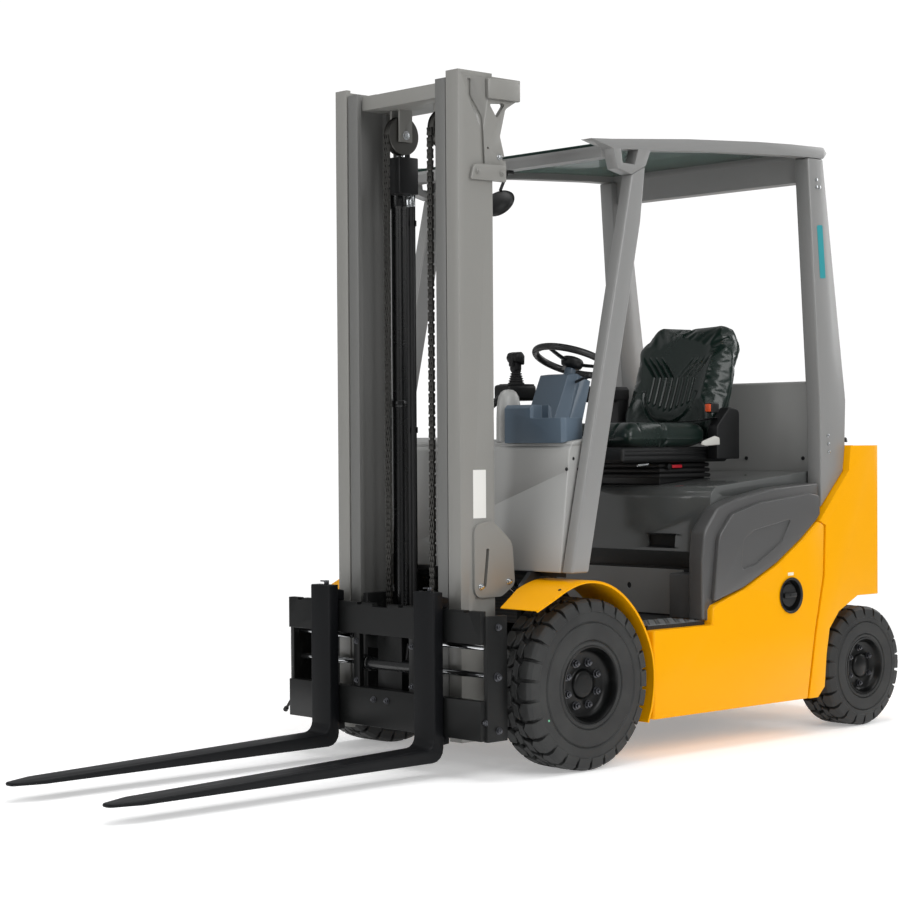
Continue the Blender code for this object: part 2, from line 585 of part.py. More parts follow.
# ---- control console, steering column and wheel ---------------------------------------
CONSOLE_Y = -0.225
console = fuse(
    rod((X_DRIVE - 0.110, CONSOLE_Y, COWL_TOP - 0.02), (X_DRIVE - 0.365, CONSOLE_Y, 1.235), 0.014, 14),
    box(X_DRIVE - 0.500, X_DRIVE - 0.350, CONSOLE_Y - 0.040, CONSOLE_Y + 0.040, 1.215, 1.275, 0.012, 1),
    rod((X_DRIVE - 0.430, CONSOLE_Y, 1.270), (X_DRIVE - 0.430, CONSOLE_Y, 1.325), 0.030, 16),
    box(X_DRIVE - 0.452, X_DRIVE - 0.400, CONSOLE_Y - 0.028, CONSOLE_Y + 0.028, 1.320, 1.395, 0.010, 1))
console = cut(console, extruded("Y", -0.5, 0.1, [
    (X_DRIVE - 0.3, 0.9), (X_DRIVE + 0.1, 0.9), (X_DRIVE - 0.020, 1.068 + SEAT),
    (X_DRIVE - 0.145, COWL_TOP + SEAT), (X_DRIVE - 0.3, COWL_TOP + SEAT + 0.0211)]))
node("control_console", console, BLACK_PLASTIC)

COLUMN_LEAN = math.radians(21.0)
COLUMN_LENGTH = 0.862
WHEEL_RADIUS = 0.150
WHEEL_TUBE = 0.013
up = Vector((-math.sin(COLUMN_LEAN), 0, math.cos(COLUMN_LEAN)))
foot = Vector((COLUMN_PIVOT[0], 0, COLUMN_PIVOT[1]))
hub = foot + up * COLUMN_LENGTH
ahead = Vector((math.cos(COLUMN_LEAN), 0, math.sin(COLUMN_LEAN)))


def along_column(reach, forward):
    """(x, z) of a point at a distance up the column and ahead of its axis."""
    place = foot + up * reach + ahead * forward
    return (place.x, place.z)


lower = extruded("Y", -0.045, 0.045, [along_column(-0.030, -0.030), along_column(-0.030, 0.030),
                                     along_column(0.50, 0.035), along_column(0.50, -0.035)])
upper = extruded("Y", -0.070, 0.070, rounded([
    along_column(0.46, -0.040), along_column(0.46, 0.040), along_column(0.60, 0.080),
    along_column(0.78, 0.070), along_column(0.80, 0.030),
    along_column(0.80, -0.045), along_column(0.60, -0.060)]))
column = fuse(lower, upper,
              rod((foot.x, -COLUMN_LUG_Y + SEAT, foot.z), (foot.x, COLUMN_LUG_Y - SEAT, foot.z), 0.016, 16),
              rod(foot + up * 0.79, foot + up * (COLUMN_LENGTH - 0.030 - SEAT), 0.020, 16))
column = node("steering_column", column, SLATE_PLASTIC)
pivot("column_axis", foot, [column])

bpy.ops.mesh.primitive_torus_add(major_radius=WHEEL_RADIUS - WHEEL_TUBE, minor_radius=WHEEL_TUBE,
                                 major_segments=32, minor_segments=8)
ring = bpy.context.object
lean = up.to_track_quat("Z", "Y").to_matrix().to_4x4()
ring.matrix_world = Matrix.Translation(hub) @ lean
ring = baked(ring)
spokes = []
for angle in (90.0, 210.0, 330.0):
    out = Vector((math.cos(math.radians(angle)), math.sin(math.radians(angle)), 0.0))
    spokes.append(rod(hub - up * 0.008, hub + lean.to_3x3() @ out * (WHEEL_RADIUS - WHEEL_TUBE), 0.009, 10))
wheel = fuse(ring, rod(hub - up * 0.030, hub + up * 0.012, 0.042, 20), *spokes)
wheel = node("steering_wheel", wheel, BLACK_PLASTIC)
pivot("steering_axis", hub, [wheel])

# ---- hood, rear wall, seat ---------------------------------------------------------------
HOOD_WALL = 0.012
HOOD_REAR = X_DRIVE - 1.297
HOOD_TOP_FRONT = 0.905
HOOD_TOP_REAR = 0.955


def hood_top(x):
    """Height of the hood's sloping top at a place along the truck."""
    share = (HOOD_FRONT - 0.026 - x) / (HOOD_FRONT - 0.026 - HOOD_REAR)
    return HOOD_TOP_FRONT + (HOOD_TOP_REAR - HOOD_TOP_FRONT) * share


outer_shape = rounded([(HOOD_FRONT, HOOD_BOTTOM), (HOOD_FRONT - 0.026, 0.905, 0.05),
                       (HOOD_REAR, HOOD_TOP_REAR, 0.02), (HOOD_REAR, 0.800)])
inner_shape = [(HOOD_FRONT - HOOD_WALL, HOOD_BOTTOM - 0.1), (HOOD_FRONT - HOOD_WALL, HOOD_BOTTOM),
               (HOOD_FRONT - 0.026 - HOOD_WALL, 0.855), (HOOD_FRONT - 0.070, 0.893),
               (HOOD_REAR + HOOD_WALL, HOOD_TOP_REAR - HOOD_WALL - 0.004), (HOOD_REAR + HOOD_WALL, 0.5)]
hood = extruded("Y", -HOOD_HALF, HOOD_HALF, outer_shape)
rounded_edges(hood, 0.020, 2, 60)
hood = baked(hood)
inside = extruded("Y", -HOOD_HALF + HOOD_WALL, HOOD_HALF - HOOD_WALL, inner_shape)
hood = cut(hood, inside, box(HOOD_REAR - 0.1, HOOD_FRONT - HOOD_WALL, -0.6, 0.6, 0.3, HOOD_BOTTOM + 0.02))
ARM_TOP = 0.946
arms = []
for _, side in SIDES:
    low, high = between(side, HINGE_Y - 0.038, HINGE_Y - 0.016)
    arm = extruded("Y", low, high, rounded([
        (HOOD_REAR + 0.004, 0.890), (HOOD_REAR + 0.004, ARM_TOP), (HOOD_REAR - 0.032, ARM_TOP),
        (HINGE[0] + 0.022, HINGE[1] + 0.018, 0.016), (HINGE[0] - 0.018, HINGE[1] + 0.018, 0.016),
        (HINGE[0] - 0.006, 1.000), (HOOD_REAR - 0.050, 0.890)], 3))
    arms.append(cut(arm, rod((HINGE[0], -0.5, HINGE[1]), (HINGE[0], 0.5, HINGE[1]), HINGE_PIN + PIN_GAP, 14)))
hood = node("hood", fuse(hood, *arms), HOOD_PLASTIC)

WALL_TOP = 1.284
rear_wall = box(HOOD_REAR - 0.024, HOOD_REAR - 0.004, -HOOD_HALF + 0.004, HOOD_HALF - 0.004,
                ARM_TOP + SEAT, WALL_TOP, 0.006, 1)
rear_wall = node("rear_wall", rear_wall, HOOD_PLASTIC)

SEAT_HALF = 0.235
SEAT_FRONT = X_DRIVE - 0.535
SEAT_Z = 1.045               # top of the seat's base
base = box(X_DRIVE - 1.085, X_DRIVE - 0.510, -0.225, 0.225, 0.990, SEAT_Z, 0.010, 1)
SUSPENSION = (X_DRIVE - 1.015, X_DRIVE - 0.765)
stand = extruded("Y", -0.170, 0.170, [
    (SUSPENSION[0], hood_top(SUSPENSION[0]) + SEAT), (SUSPENSION[1], hood_top(SUSPENSION[1]) + SEAT),
    (SUSPENSION[1], 1.000), (SUSPENSION[0], 1.000)])
seat_base = node("seat_base", fuse(base, stand), BLACK_PLASTIC)
cushion = box(X_DRIVE - 0.985, SEAT_FRONT, -SEAT_HALF, SEAT_HALF, SEAT_Z + SEAT, 1.127, 0.025, 2)
cushion = node("seat_cushion", cushion, SEAT_VINYL)
back = extruded("Y", -SEAT_HALF, SEAT_HALF, rounded([
    (X_DRIVE - 0.990, SEAT_Z + SEAT), (X_DRIVE - 0.990, 1.150), (X_DRIVE - 1.118, 1.525, 0.035),
    (X_DRIVE - 1.212, 1.500, 0.035), (X_DRIVE - 1.080, SEAT_Z + SEAT)]))
back = common(back, extruded("X", X_DRIVE - 1.5, X_DRIVE - 0.8, rounded([
    (-SEAT_HALF, 0.9), (SEAT_HALF, 0.9), (SEAT_HALF, 1.400), (0.165, 1.530, 0.06),
    (-0.165, 1.530, 0.06), (-SEAT_HALF, 1.400)])))
back = node("seat_backrest", back, SEAT_VINYL)
module = extruded("Y", SEAT_HALF + 0.004, SEAT_HALF + 0.050, rounded([
    (X_DRIVE - 0.950, 1.000), (X_DRIVE - 0.950, 1.120, 0.02), (X_DRIVE - 1.020, 1.190, 0.02),
    (X_DRIVE - 1.075, 1.180, 0.02), (X_DRIVE - 1.075, 1.000)], 3))
module = cut(module, box(X_DRIVE - 1.2, X_DRIVE - 0.8, 0.0, 0.2303, 0.9, 1.1))
bridge = box(X_DRIVE - 1.060, X_DRIVE - 0.960, 0.2253, SEAT_HALF + 0.008, 1.000, 1.035)
belt_module = node("belt_module", fuse(module, bridge), BLACK_PLASTIC)
arm_low, arm_high = -SEAT_HALF - 0.075, -SEAT_HALF - 0.006
armrest = fuse(box(X_DRIVE - 1.060, X_DRIVE - 0.720, arm_low, arm_high, 1.215, 1.275, 0.012, 1),
               extruded("X", X_DRIVE - 1.050, X_DRIVE - 0.990, [
                   (-0.2253, 0.995), (-0.2253, 1.030), (arm_high - 0.004, 1.030),
                   (arm_high - 0.004, 1.230), (arm_low + 0.015, 1.230), (arm_low + 0.015, 0.995)]))
armrest = node("armrest", armrest, BLACK_PLASTIC)
pivot("hood_axis", (HINGE[0], 0, HINGE[1]),
      [hood, rear_wall, seat_base, cushion, back, belt_module, armrest])

# ---- driver's guard --------------------------------------------------------------------
PILLAR_INNER = GUARD_HALF - 0.048
REAR_PILLAR_INNER = HOOD_HALF + RUN
RAIL_DEPTH = 0.040
ROOF_FRONT = X_DRIVE - 0.155
ROOF_REAR = X_DRIVE - 1.290


def roof_z(x):
    """Top of the roof's side rails, which rise a little to the rear."""
    share = (ROOF_FRONT - x) / (ROOF_FRONT - ROOF_REAR)
    return GUARD_HEIGHT - 0.070 * (1 - share) ** 1.6


rail_x = [ROOF_FRONT + (ROOF_REAR + 0.020 - ROOF_FRONT) * k / 6 for k in range(7)]
rail_top = [(x, roof_z(x)) for x in rail_x]
rail_low = [(x, roof_z(x) - RAIL_DEPTH) for x in rail_x[::-1]]
corner = [(X_DRIVE - 0.248, 1.952), (X_DRIVE - 0.181, 1.966), (X_DRIVE - 0.160, 2.030),
          (X_DRIVE - 0.054, 2.053)]
rail_outline = [corner[3]] + rail_top + [(ROOF_REAR, roof_z(ROOF_REAR) - 0.020)] + rail_low[:5]
rail_outline += [(X_DRIVE - 0.340, roof_z(X_DRIVE - 0.340) - RAIL_DEPTH), (X_DRIVE - 0.315, 1.985)]
rail_outline += [corner[0], corner[1], corner[2]]
window = [(X_DRIVE - 0.196, 2.030), (X_DRIVE - 0.203, 1.986), (X_DRIVE - 0.262, 1.984),
          (X_DRIVE - 0.280, 2.036)]
roof = []
for _, side in SIDES:
    low, high = between(side, PILLAR_INNER, GUARD_HALF)
    roof.append(extruded("Y", low, high, rail_outline, window))
inner = PILLAR_INNER + 0.002
roof.append(box(ROOF_FRONT - 0.045, ROOF_FRONT + 0.005, -inner, inner, 2.005, 2.0435))
roof.append(box(ROOF_REAR + 0.020, ROOF_REAR + 0.080, -inner, inner, 2.090, 2.118))
inner = REAR_PILLAR_INNER - 0.0005
roof.append(box(ROOF_REAR + 0.021, ROOF_REAR + 0.079, -inner, inner, 2.005, 2.100))
guard_roof = node("guard_roof_frame", fuse(*roof), GREY_PAINT)

PANEL_SHEET = 0.010
panel_x = [ROOF_FRONT + (ROOF_REAR + 0.082 - ROOF_FRONT) * k / 6 for k in range(7)]
panel_line = [(x, roof_z(x) - 0.011) for x in panel_x]
half = PILLAR_INNER - SEAT
roof_panel = extruded("Y", -half, half, strip(panel_line, PANEL_SHEET))
node("guard_roof_panel", roof_panel, BLACK_PLASTIC)

for name, side in SIDES:
    low, high = between(side, PILLAR_INNER, GUARD_HALF)
    top_cut = 0.0005
    outline = [(X_DRIVE + 0.046, FENDER_TOP + SEAT), (X_DRIVE - 0.248, 1.952 - top_cut),
               (X_DRIVE - 0.315, 1.985 - top_cut), (X_DRIVE - 0.291, 1.796),
               (X_DRIVE - 0.201, 1.385), (X_DRIVE - 0.033, FENDER_TOP + SEAT)]
    node(f"guard_front_pillar_{name}", extruded("Y", low, high, outline), GREY_PAINT)
    low, high = between(side, REAR_PILLAR_INNER, GUARD_HALF)
    skirt = [(x + 0.0004, z + 0.0004) for x, z in SHOULDER[::-1]]
    top = ROOF_REAR + 0.020
    top_z = roof_z(top) - RAIL_DEPTH - 0.0015
    outline = [(X_DRIVE - 1.182, roof_z(X_DRIVE - 1.182) - RAIL_DEPTH - 0.0015), (top, top_z),
               (X_DRIVE - 1.401 + 0.0, 1.213), (SHOULDER[0][0] + 0.0004, CW_TOP + 0.02)]
    outline += skirt[::-1] + [(X_DRIVE - 1.252, 0.822), (X_DRIVE - 1.252, 1.000), (X_DRIVE - 1.247, 1.212)]
    pillar = extruded("Y", low, high, outline)
    node(f"guard_rear_pillar_{name}", pillar, GREY_PAINT)

# ---- mast: outer rails ---------------------------------------------------------------------
RAIL_FACE = X_FORK - 0.122   # front face of the rails
OUTER_DEPTH = 0.150
OUTER_REAR = RAIL_FACE - OUTER_DEPTH
FLANGE = 0.018
OUTER_EDGE = 0.308
OUTER_TIP = 0.250            # inner tips of the outer rail's flanges
OUTER_WEB = 0.018
MAST_BOTTOM = 0.100
BEARING_RADIUS = 0.112
BEARING_BORE = AXLE_RADIUS + PIN_GAP
TILT_EYE = (X_DRIVE + 0.120, 0.620)      # tilt rod's pin on the mast (x, z)
EYE_PIN_RADIUS = 0.0125
EYE_HALF_WIDTH = 0.018
ROLLER_RADIUS = OUTER_DEPTH / 2 - 0.002 - FLANGE - PIN_GAP   # fits the inner rail
RAIL_MIDDLE = RAIL_FACE - OUTER_DEPTH / 2
INNER_EDGE = OUTER_TIP - 0.0055          # outer tips of the inner rail
INNER_TIP = 0.196
INNER_WEB = (0.2145, 0.2265)
TOP_ROLLER_Z = MAST_HEIGHT - 0.072

outer_rails = []
for name, side in SIDES:
    section = [(RAIL_FACE, OUTER_TIP), (RAIL_FACE, OUTER_EDGE), (OUTER_REAR, OUTER_EDGE),
               (OUTER_REAR, OUTER_TIP), (OUTER_REAR + FLANGE, OUTER_TIP),
               (OUTER_REAR + FLANGE, OUTER_EDGE - OUTER_WEB),
               (RAIL_FACE - FLANGE, OUTER_EDGE - OUTER_WEB), (RAIL_FACE - FLANGE, OUTER_TIP)]
    rail = extruded("Z", MAST_BOTTOM, MAST_HEIGHT, [(x, side * y) for x, y in section])
    low, high = between(side, 0.262, 0.298)
    z = FRONT_TYRE_RADIUS
    bearing = fuse(rod((X_DRIVE, low, z), (X_DRIVE, high, z), BEARING_RADIUS, AXLE_SIDES),
                   box(X_DRIVE, OUTER_REAR + 0.006, low, high, z - 0.085, z + 0.085))
    bearing = cut(bearing, round_on_drive(BEARING_BORE, 0.5))
    ears = []
    ear_outline = rounded([
        (OUTER_REAR - 0.082, 0.600, 0.030), (OUTER_REAR - 0.020, 0.564, 0.030),
        (OUTER_REAR + 0.099, 0.564, 0.030), (OUTER_REAR + 0.099, 0.800, 0.030),
        (OUTER_REAR + 0.020, 0.814, 0.040), (OUTER_REAR - 0.070, 0.740, 0.050)], 3)
    inner_ear = rounded([
        (OUTER_REAR - 0.095, 0.595, 0.030), (OUTER_REAR + 0.004, 0.575), (OUTER_REAR + 0.004, 0.700),
        (OUTER_REAR - 0.060, 0.680, 0.030)], 3)
    low, high = between(side, OUTER_EDGE - 0.001, OUTER_EDGE + 0.010)
    ears.append(extruded("Y", low, high, ear_outline))
    low, high = between(side, OUTER_TIP, OUTER_TIP + 0.010)
    ears.append(extruded("Y", low, high, inner_ear))
    low, high = between(side, OUTER_TIP + 0.004, OUTER_EDGE + 0.004)
    ears.append(rod((TILT_EYE[0], low, TILT_EYE[1]), (TILT_EYE[0], high, TILT_EYE[1]), EYE_PIN_RADIUS, 16))
    low, high = between(side, OUTER_EDGE - 0.018, OUTER_EDGE)
    ears.append(extruded("Y", low, high, rounded([
        (OUTER_REAR + 0.006, MAST_HEIGHT - 0.330), (OUTER_REAR + 0.006, MAST_HEIGHT - 0.010),
        (OUTER_REAR - 0.128, MAST_HEIGHT - 0.010), (OUTER_REAR - 0.128, MAST_HEIGHT - 0.070, 0.015),
        (OUTER_REAR - 0.060, MAST_HEIGHT - 0.110, 0.02), (OUTER_REAR - 0.035, MAST_HEIGHT - 0.200, 0.02),
        (OUTER_REAR - 0.062, MAST_HEIGHT - 0.290), (OUTER_REAR - 0.062, MAST_HEIGHT - 0.330)], 3)))
    low, high = between(side, INNER_WEB[1] + 0.005, OUTER_EDGE - OUTER_WEB + 0.002)
    ears.append(rod((RAIL_MIDDLE, low, TOP_ROLLER_Z), (RAIL_MIDDLE, high, TOP_ROLLER_Z), ROLLER_RADIUS, 20))
    rail = fuse(rail, bearing, *ears)
    outer_rails.append(node(f"outer_rail_{name}", rail, GREY_PAINT))

CYL_X = OUTER_REAR - 0.041
CYL_Y = 0.200
CYL_RADIUS = 0.032
ROD_RADIUS = 0.0205
CYL_BORE = ROD_RADIUS + PIN_GAP
CYL_TOP = MAST_HEIGHT - 0.310
CROSS_FOOT_TOP = 0.250
foot_beam = box(X_DRIVE + DIFF_RADIUS + RUN + 0.002, OUTER_REAR - 0.005, -0.262 + SEAT, 0.262 - SEAT, 0.120, CROSS_FOOT_TOP)
foot_beam = node("outer_cross_foot", foot_beam, GREY_PAINT)
top_half = OUTER_EDGE - 0.018 - SEAT
head_beam = box(OUTER_REAR - 0.124, OUTER_REAR - 0.088, -top_half, top_half,
                MAST_HEIGHT - 0.066, MAST_HEIGHT - 0.022, 0.004, 1)
head_beam = node("outer_cross_head", head_beam, GREY_PAINT)
outer_bits = outer_rails + [foot_beam, head_beam]
for name, side in SIDES:
    barrel = turned([(CYL_RADIUS, CROSS_FOOT_TOP + SEAT), (CYL_RADIUS, CYL_TOP - 0.06),
                     (CYL_RADIUS + 0.004, CYL_TOP - 0.06), (CYL_RADIUS + 0.004, CYL_TOP),
                     (CYL_BORE, CYL_TOP), (CYL_BORE, CROSS_FOOT_TOP + 0.03), (0.0, CROSS_FOOT_TOP + 0.03)]
                    [::-1] + [(0.0, CROSS_FOOT_TOP + SEAT)], (CYL_X, side * CYL_Y, 0.0), (0, 0, 1), 20)
    outer_bits.append(node(f"lift_barrel_{name}", barrel, BLACK_PAINT))
pivot("mast_axis", DRIVE, outer_bits)

# ---- mast: inner rails, head beam with chain wheels, lift rods -------------------------------
INNER_FACE = RAIL_FACE - 0.002
INNER_REAR = OUTER_REAR + 0.002
INNER_TOP = MAST_HEIGHT - 0.020
INNER_BOTTOM = MAST_BOTTOM + 0.010
FOOT_ROLLER_Z = INNER_BOTTOM + 0.080
CHAIN_Y = 0.110
CHAIN_HALF = 0.0125
WHEEL_X = RAIL_MIDDLE - 0.048            # chain wheels' axle
SHEAVE_Z = INNER_TOP - 0.140
SHEAVE_RADIUS = 0.060
inner_bits = []
for name, side in SIDES:
    section = [(INNER_FACE, INNER_TIP), (INNER_FACE, INNER_EDGE), (INNER_FACE - FLANGE, INNER_EDGE),
               (INNER_FACE - FLANGE, INNER_WEB[1]), (INNER_REAR + FLANGE, INNER_WEB[1]),
               (INNER_REAR + FLANGE, INNER_EDGE), (INNER_REAR, INNER_EDGE), (INNER_REAR, INNER_TIP),
               (INNER_REAR + FLANGE, INNER_TIP), (INNER_REAR + FLANGE, INNER_WEB[0]),
               (INNER_FACE - FLANGE, INNER_WEB[0]), (INNER_FACE - FLANGE, INNER_TIP)]
    rail = extruded("Z", INNER_BOTTOM, INNER_TOP, [(x, side * y) for x, y in section])
    low, high = between(side, INNER_WEB[1] - 0.002, OUTER_EDGE - OUTER_WEB - 0.006)
    rail = fuse(rail, rod((RAIL_MIDDLE, low, FOOT_ROLLER_Z), (RAIL_MIDDLE, high, FOOT_ROLLER_Z),
                          ROLLER_RADIUS + 0.002, 20))
    inner_bits.append(node(f"inner_rail_{name}", rail, GREY_PAINT))
beam_half = INNER_TIP - SEAT
EAR_Z = (INNER_TOP - 0.055, INNER_TOP - 0.008)
head = [box(CYL_X - 0.025, RAIL_MIDDLE + 0.052, -beam_half, beam_half, *EAR_Z),
        box(CYL_X - 0.025, INNER_REAR - 0.001, -CYL_Y - 0.035, CYL_Y + 0.035, *EAR_Z)]
for _, side in SIDES:
    for offset in (-0.021, 0.021):
        y = side * CHAIN_Y + offset
        head.append(box(WHEEL_X - 0.028, WHEEL_X + 0.028, y - 0.004, y + 0.004,
                        SHEAVE_Z - 0.022, INNER_TOP - 0.050))
    low, high = between(side, CHAIN_Y - 0.0145, CHAIN_Y + 0.0145)
    head.append(rod((WHEEL_X, low, SHEAVE_Z), (WHEEL_X, high, SHEAVE_Z), SHEAVE_RADIUS, 24))
    low, high = between(side, CHAIN_Y - 0.026, CHAIN_Y + 0.026)
    head.append(rod((WHEEL_X, low, SHEAVE_Z), (WHEEL_X, high, SHEAVE_Z), 0.012, 12))
inner_bits.append(node("inner_cross_head", fuse(*head), GREY_PAINT))
inner_foot = box(INNER_REAR + 0.001, INNER_REAR + 0.012, -beam_half, beam_half, 0.150, 0.340)
inner_bits.append(node("inner_cross_foot", inner_foot, GREY_PAINT))
for name, side in SIDES:
    lift_rod = rod((CYL_X, side * CYL_Y, CROSS_FOOT_TOP + 0.040), (CYL_X, side * CYL_Y, EAR_Z[0] - SEAT),
                   ROD_RADIUS, 20)
    inner_bits.append(node(f"lift_rod_{name}", lift_rod, CHROME))
CHAIN_X = WHEEL_X + SHEAVE_RADIUS + SEAT
CHAIN_THICK = 0.012
ANCHOR_TOP = 0.420
for name, side in SIDES:
    low, high = between(side, CHAIN_Y - CHAIN_HALF, CHAIN_Y + CHAIN_HALF)
    chain = box(CHAIN_X, CHAIN_X + CHAIN_THICK, low, high, ANCHOR_TOP + SEAT, SHEAVE_Z)
    inner_bits.append(node(f"lift_chain_{name}", chain, CHAIN_STEEL))
pivot("inner_mast_axis", DRIVE, inner_bits)

# ---- lift carriage -------------------------------------------------------------------------
BAR_REAR = RAIL_FACE + 0.008
BAR_FRONT = RAIL_FACE + 0.039
SHIFT = (RAIL_FACE + 0.022, 0.330)       # side-shift rod (x, z)
SHIFT_ROD_RADIUS = 0.010
CARRIAGE_HALF = 0.370        # room for the side shift inside the end plates
pieces = [box(BAR_REAR, BAR_FRONT, -CARRIAGE_HALF, CARRIAGE_HALF, 0.440, 0.505),
          box(BAR_REAR, BAR_FRONT, -CARRIAGE_HALF, CARRIAGE_HALF, 0.160, 0.225),
          box(BAR_REAR, BAR_FRONT, -0.060, 0.060, 0.220, 0.445),
          box(CHAIN_X - 0.015, BAR_REAR - 0.001, -0.152, 0.152, ANCHOR_TOP - 0.040, ANCHOR_TOP),
          rod((SHIFT[0], -0.140, SHIFT[1]), (SHIFT[0], 0.140, SHIFT[1]), 0.020, 20)]
for _, side in SIDES:
    low, high = between(side, 0.150, 0.172)
    pieces.append(box(RAIL_MIDDLE - 0.048, BAR_REAR - 0.001, low, high, 0.120, 0.562))
    for z0, z1 in ((0.440, 0.505), (0.160, 0.225)):
        pieces.append(box(BAR_REAR - 0.010, BAR_REAR + 0.004, low, high, z0, z1))
    low, high = between(side, 0.165, INNER_WEB[0] - 0.005)
    for z in (0.178, 0.504):
        pieces.append(rod((RAIL_MIDDLE, low, z), (RAIL_MIDDLE, high, z), ROLLER_RADIUS, 20))
carriage = fuse(*pieces)
carriage = cut(carriage, rod((SHIFT[0], -0.5, SHIFT[1]), (SHIFT[0], 0.5, SHIFT[1]),
                             SHIFT_ROD_RADIUS + PIN_GAP, 16))
carriage = node("lift_carriage", carriage, BLACK_PAINT)
pivot("lift_axis", DRIVE, [carriage])

# ---- side-shifting fork carriage, forks ------------------------------------------------------
FORK_THICK = 0.040
FORK_WIDTH = 0.100
FORK_Y = 0.262
FORK_BOTTOM = 0.049
SHANK_TOP = 0.591
BAR_X = (BAR_FRONT + 0.008, X_FORK - FORK_THICK - 0.0005)
LEDGE = 0.010                # set-back of the tongue that the fork hooks grip
UPPER_BAR = (0.433, 0.515, 0.5375)
LOWER_BAR = (0.129, 0.152, 0.255)
END_INNER = 0.479
END_OUTER = 0.497
upper_outline = [(BAR_X[0], UPPER_BAR[0]), (BAR_X[1], UPPER_BAR[0]), (BAR_X[1], UPPER_BAR[2]),
                 (BAR_X[0] + LEDGE, UPPER_BAR[2]), (BAR_X[0] + LEDGE, UPPER_BAR[1]),
                 (BAR_X[0], UPPER_BAR[1])]
lower_outline = [(BAR_X[0], LOWER_BAR[2]), (BAR_X[1], LOWER_BAR[2]), (BAR_X[1], LOWER_BAR[0]),
                 (BAR_X[0] + LEDGE, LOWER_BAR[0]), (BAR_X[0] + LEDGE, LOWER_BAR[1]),
                 (BAR_X[0], LOWER_BAR[1])]
pieces = [extruded("Y", -END_INNER - 0.005, END_INNER + 0.005, upper_outline),
          extruded("Y", -END_INNER - 0.005, END_INNER + 0.005, lower_outline)]
for _, side in SIDES:
    low, high = between(side, END_INNER, END_OUTER)
    pieces.append(box(RAIL_FACE - 0.023, BAR_X[0] + 0.017, low, high, 0.126, 0.5215))
    low, high = between(side, 0.125, 0.155)
    pieces.append(box(BAR_X[0], BAR_X[0] + 0.018, low, high, 0.240, 0.440))
pieces.append(rod((SHIFT[0], -END_INNER - 0.004, SHIFT[1]), (SHIFT[0], END_INNER + 0.004, SHIFT[1]),
                  SHIFT_ROD_RADIUS, 16))
fork_carriage = node("fork_carriage", fuse(*pieces), BLACK_PAINT)
pivot("shift_axis", (SHIFT[0], 0, SHIFT[1]), [fork_carriage])

profile = rounded([
    (X_FORK, SHANK_TOP), (X_FORK, FORK_BOTTOM + 0.044, 0.035), (X_TIP - 0.30, FORK_BOTTOM + 0.022),
    (X_TIP, FORK_BOTTOM + 0.010), (X_TIP, FORK_BOTTOM), (X_FORK - FORK_THICK, FORK_BOTTOM, 0.045),
    (X_FORK - FORK_THICK, SHANK_TOP)], 4)
hook_gap = 0.0006
top_hook = [(X_FORK - 0.030, UPPER_BAR[2] + hook_gap), (X_FORK - 0.030, SHANK_TOP - 0.012),
            (BAR_X[0] + 0.001, SHANK_TOP - 0.020), (BAR_X[0] + 0.001, UPPER_BAR[1] + 0.003),
            (BAR_X[0] + LEDGE - hook_gap, UPPER_BAR[1] + 0.003),
            (BAR_X[0] + LEDGE - hook_gap, UPPER_BAR[2] + hook_gap)]
low_hook = [(X_FORK - 0.030, LOWER_BAR[0] - hook_gap), (X_FORK - 0.030, LOWER_BAR[0] - 0.030),
            (BAR_X[0] + 0.001, LOWER_BAR[0] - 0.026), (BAR_X[0] + 0.001, LOWER_BAR[1] - 0.003),
            (BAR_X[0] + LEDGE - hook_gap, LOWER_BAR[1] - 0.003),
            (BAR_X[0] + LEDGE - hook_gap, LOWER_BAR[0] - hook_gap)]
for name, side in SIDES:
    y = side * FORK_Y
    half = FORK_WIDTH / 2
    fork = extruded("Y", y - half, y + half, profile)
    plan = rounded([(X_FORK - 0.1, y - half - 0.01), (X_FORK + 0.1, y - half - 0.01),
                    (X_FORK + 0.1, y - half), (X_TIP - 0.10, y - half), (X_TIP, y - 0.020, 0.02),
                    (X_TIP, y + 0.020, 0.02), (X_TIP - 0.10, y + half), (X_FORK + 0.1, y + half),
                    (X_FORK + 0.1, y + half + 0.01), (X_FORK - 0.1, y + half + 0.01)], 3)
    fork = common(fork, extruded("Z", -0.1, 1.0, plan))
    fork = fuse(fork, extruded("Y", y - 0.040, y + 0.040, top_hook),
                extruded("Y", y - 0.040, y + 0.040, low_hook))
    fork = node(f"fork_{name}", fork, FORK_PAINT)
    pivot(f"fork_axis_{name}", (X_FORK, y, SHANK_TOP), [fork])

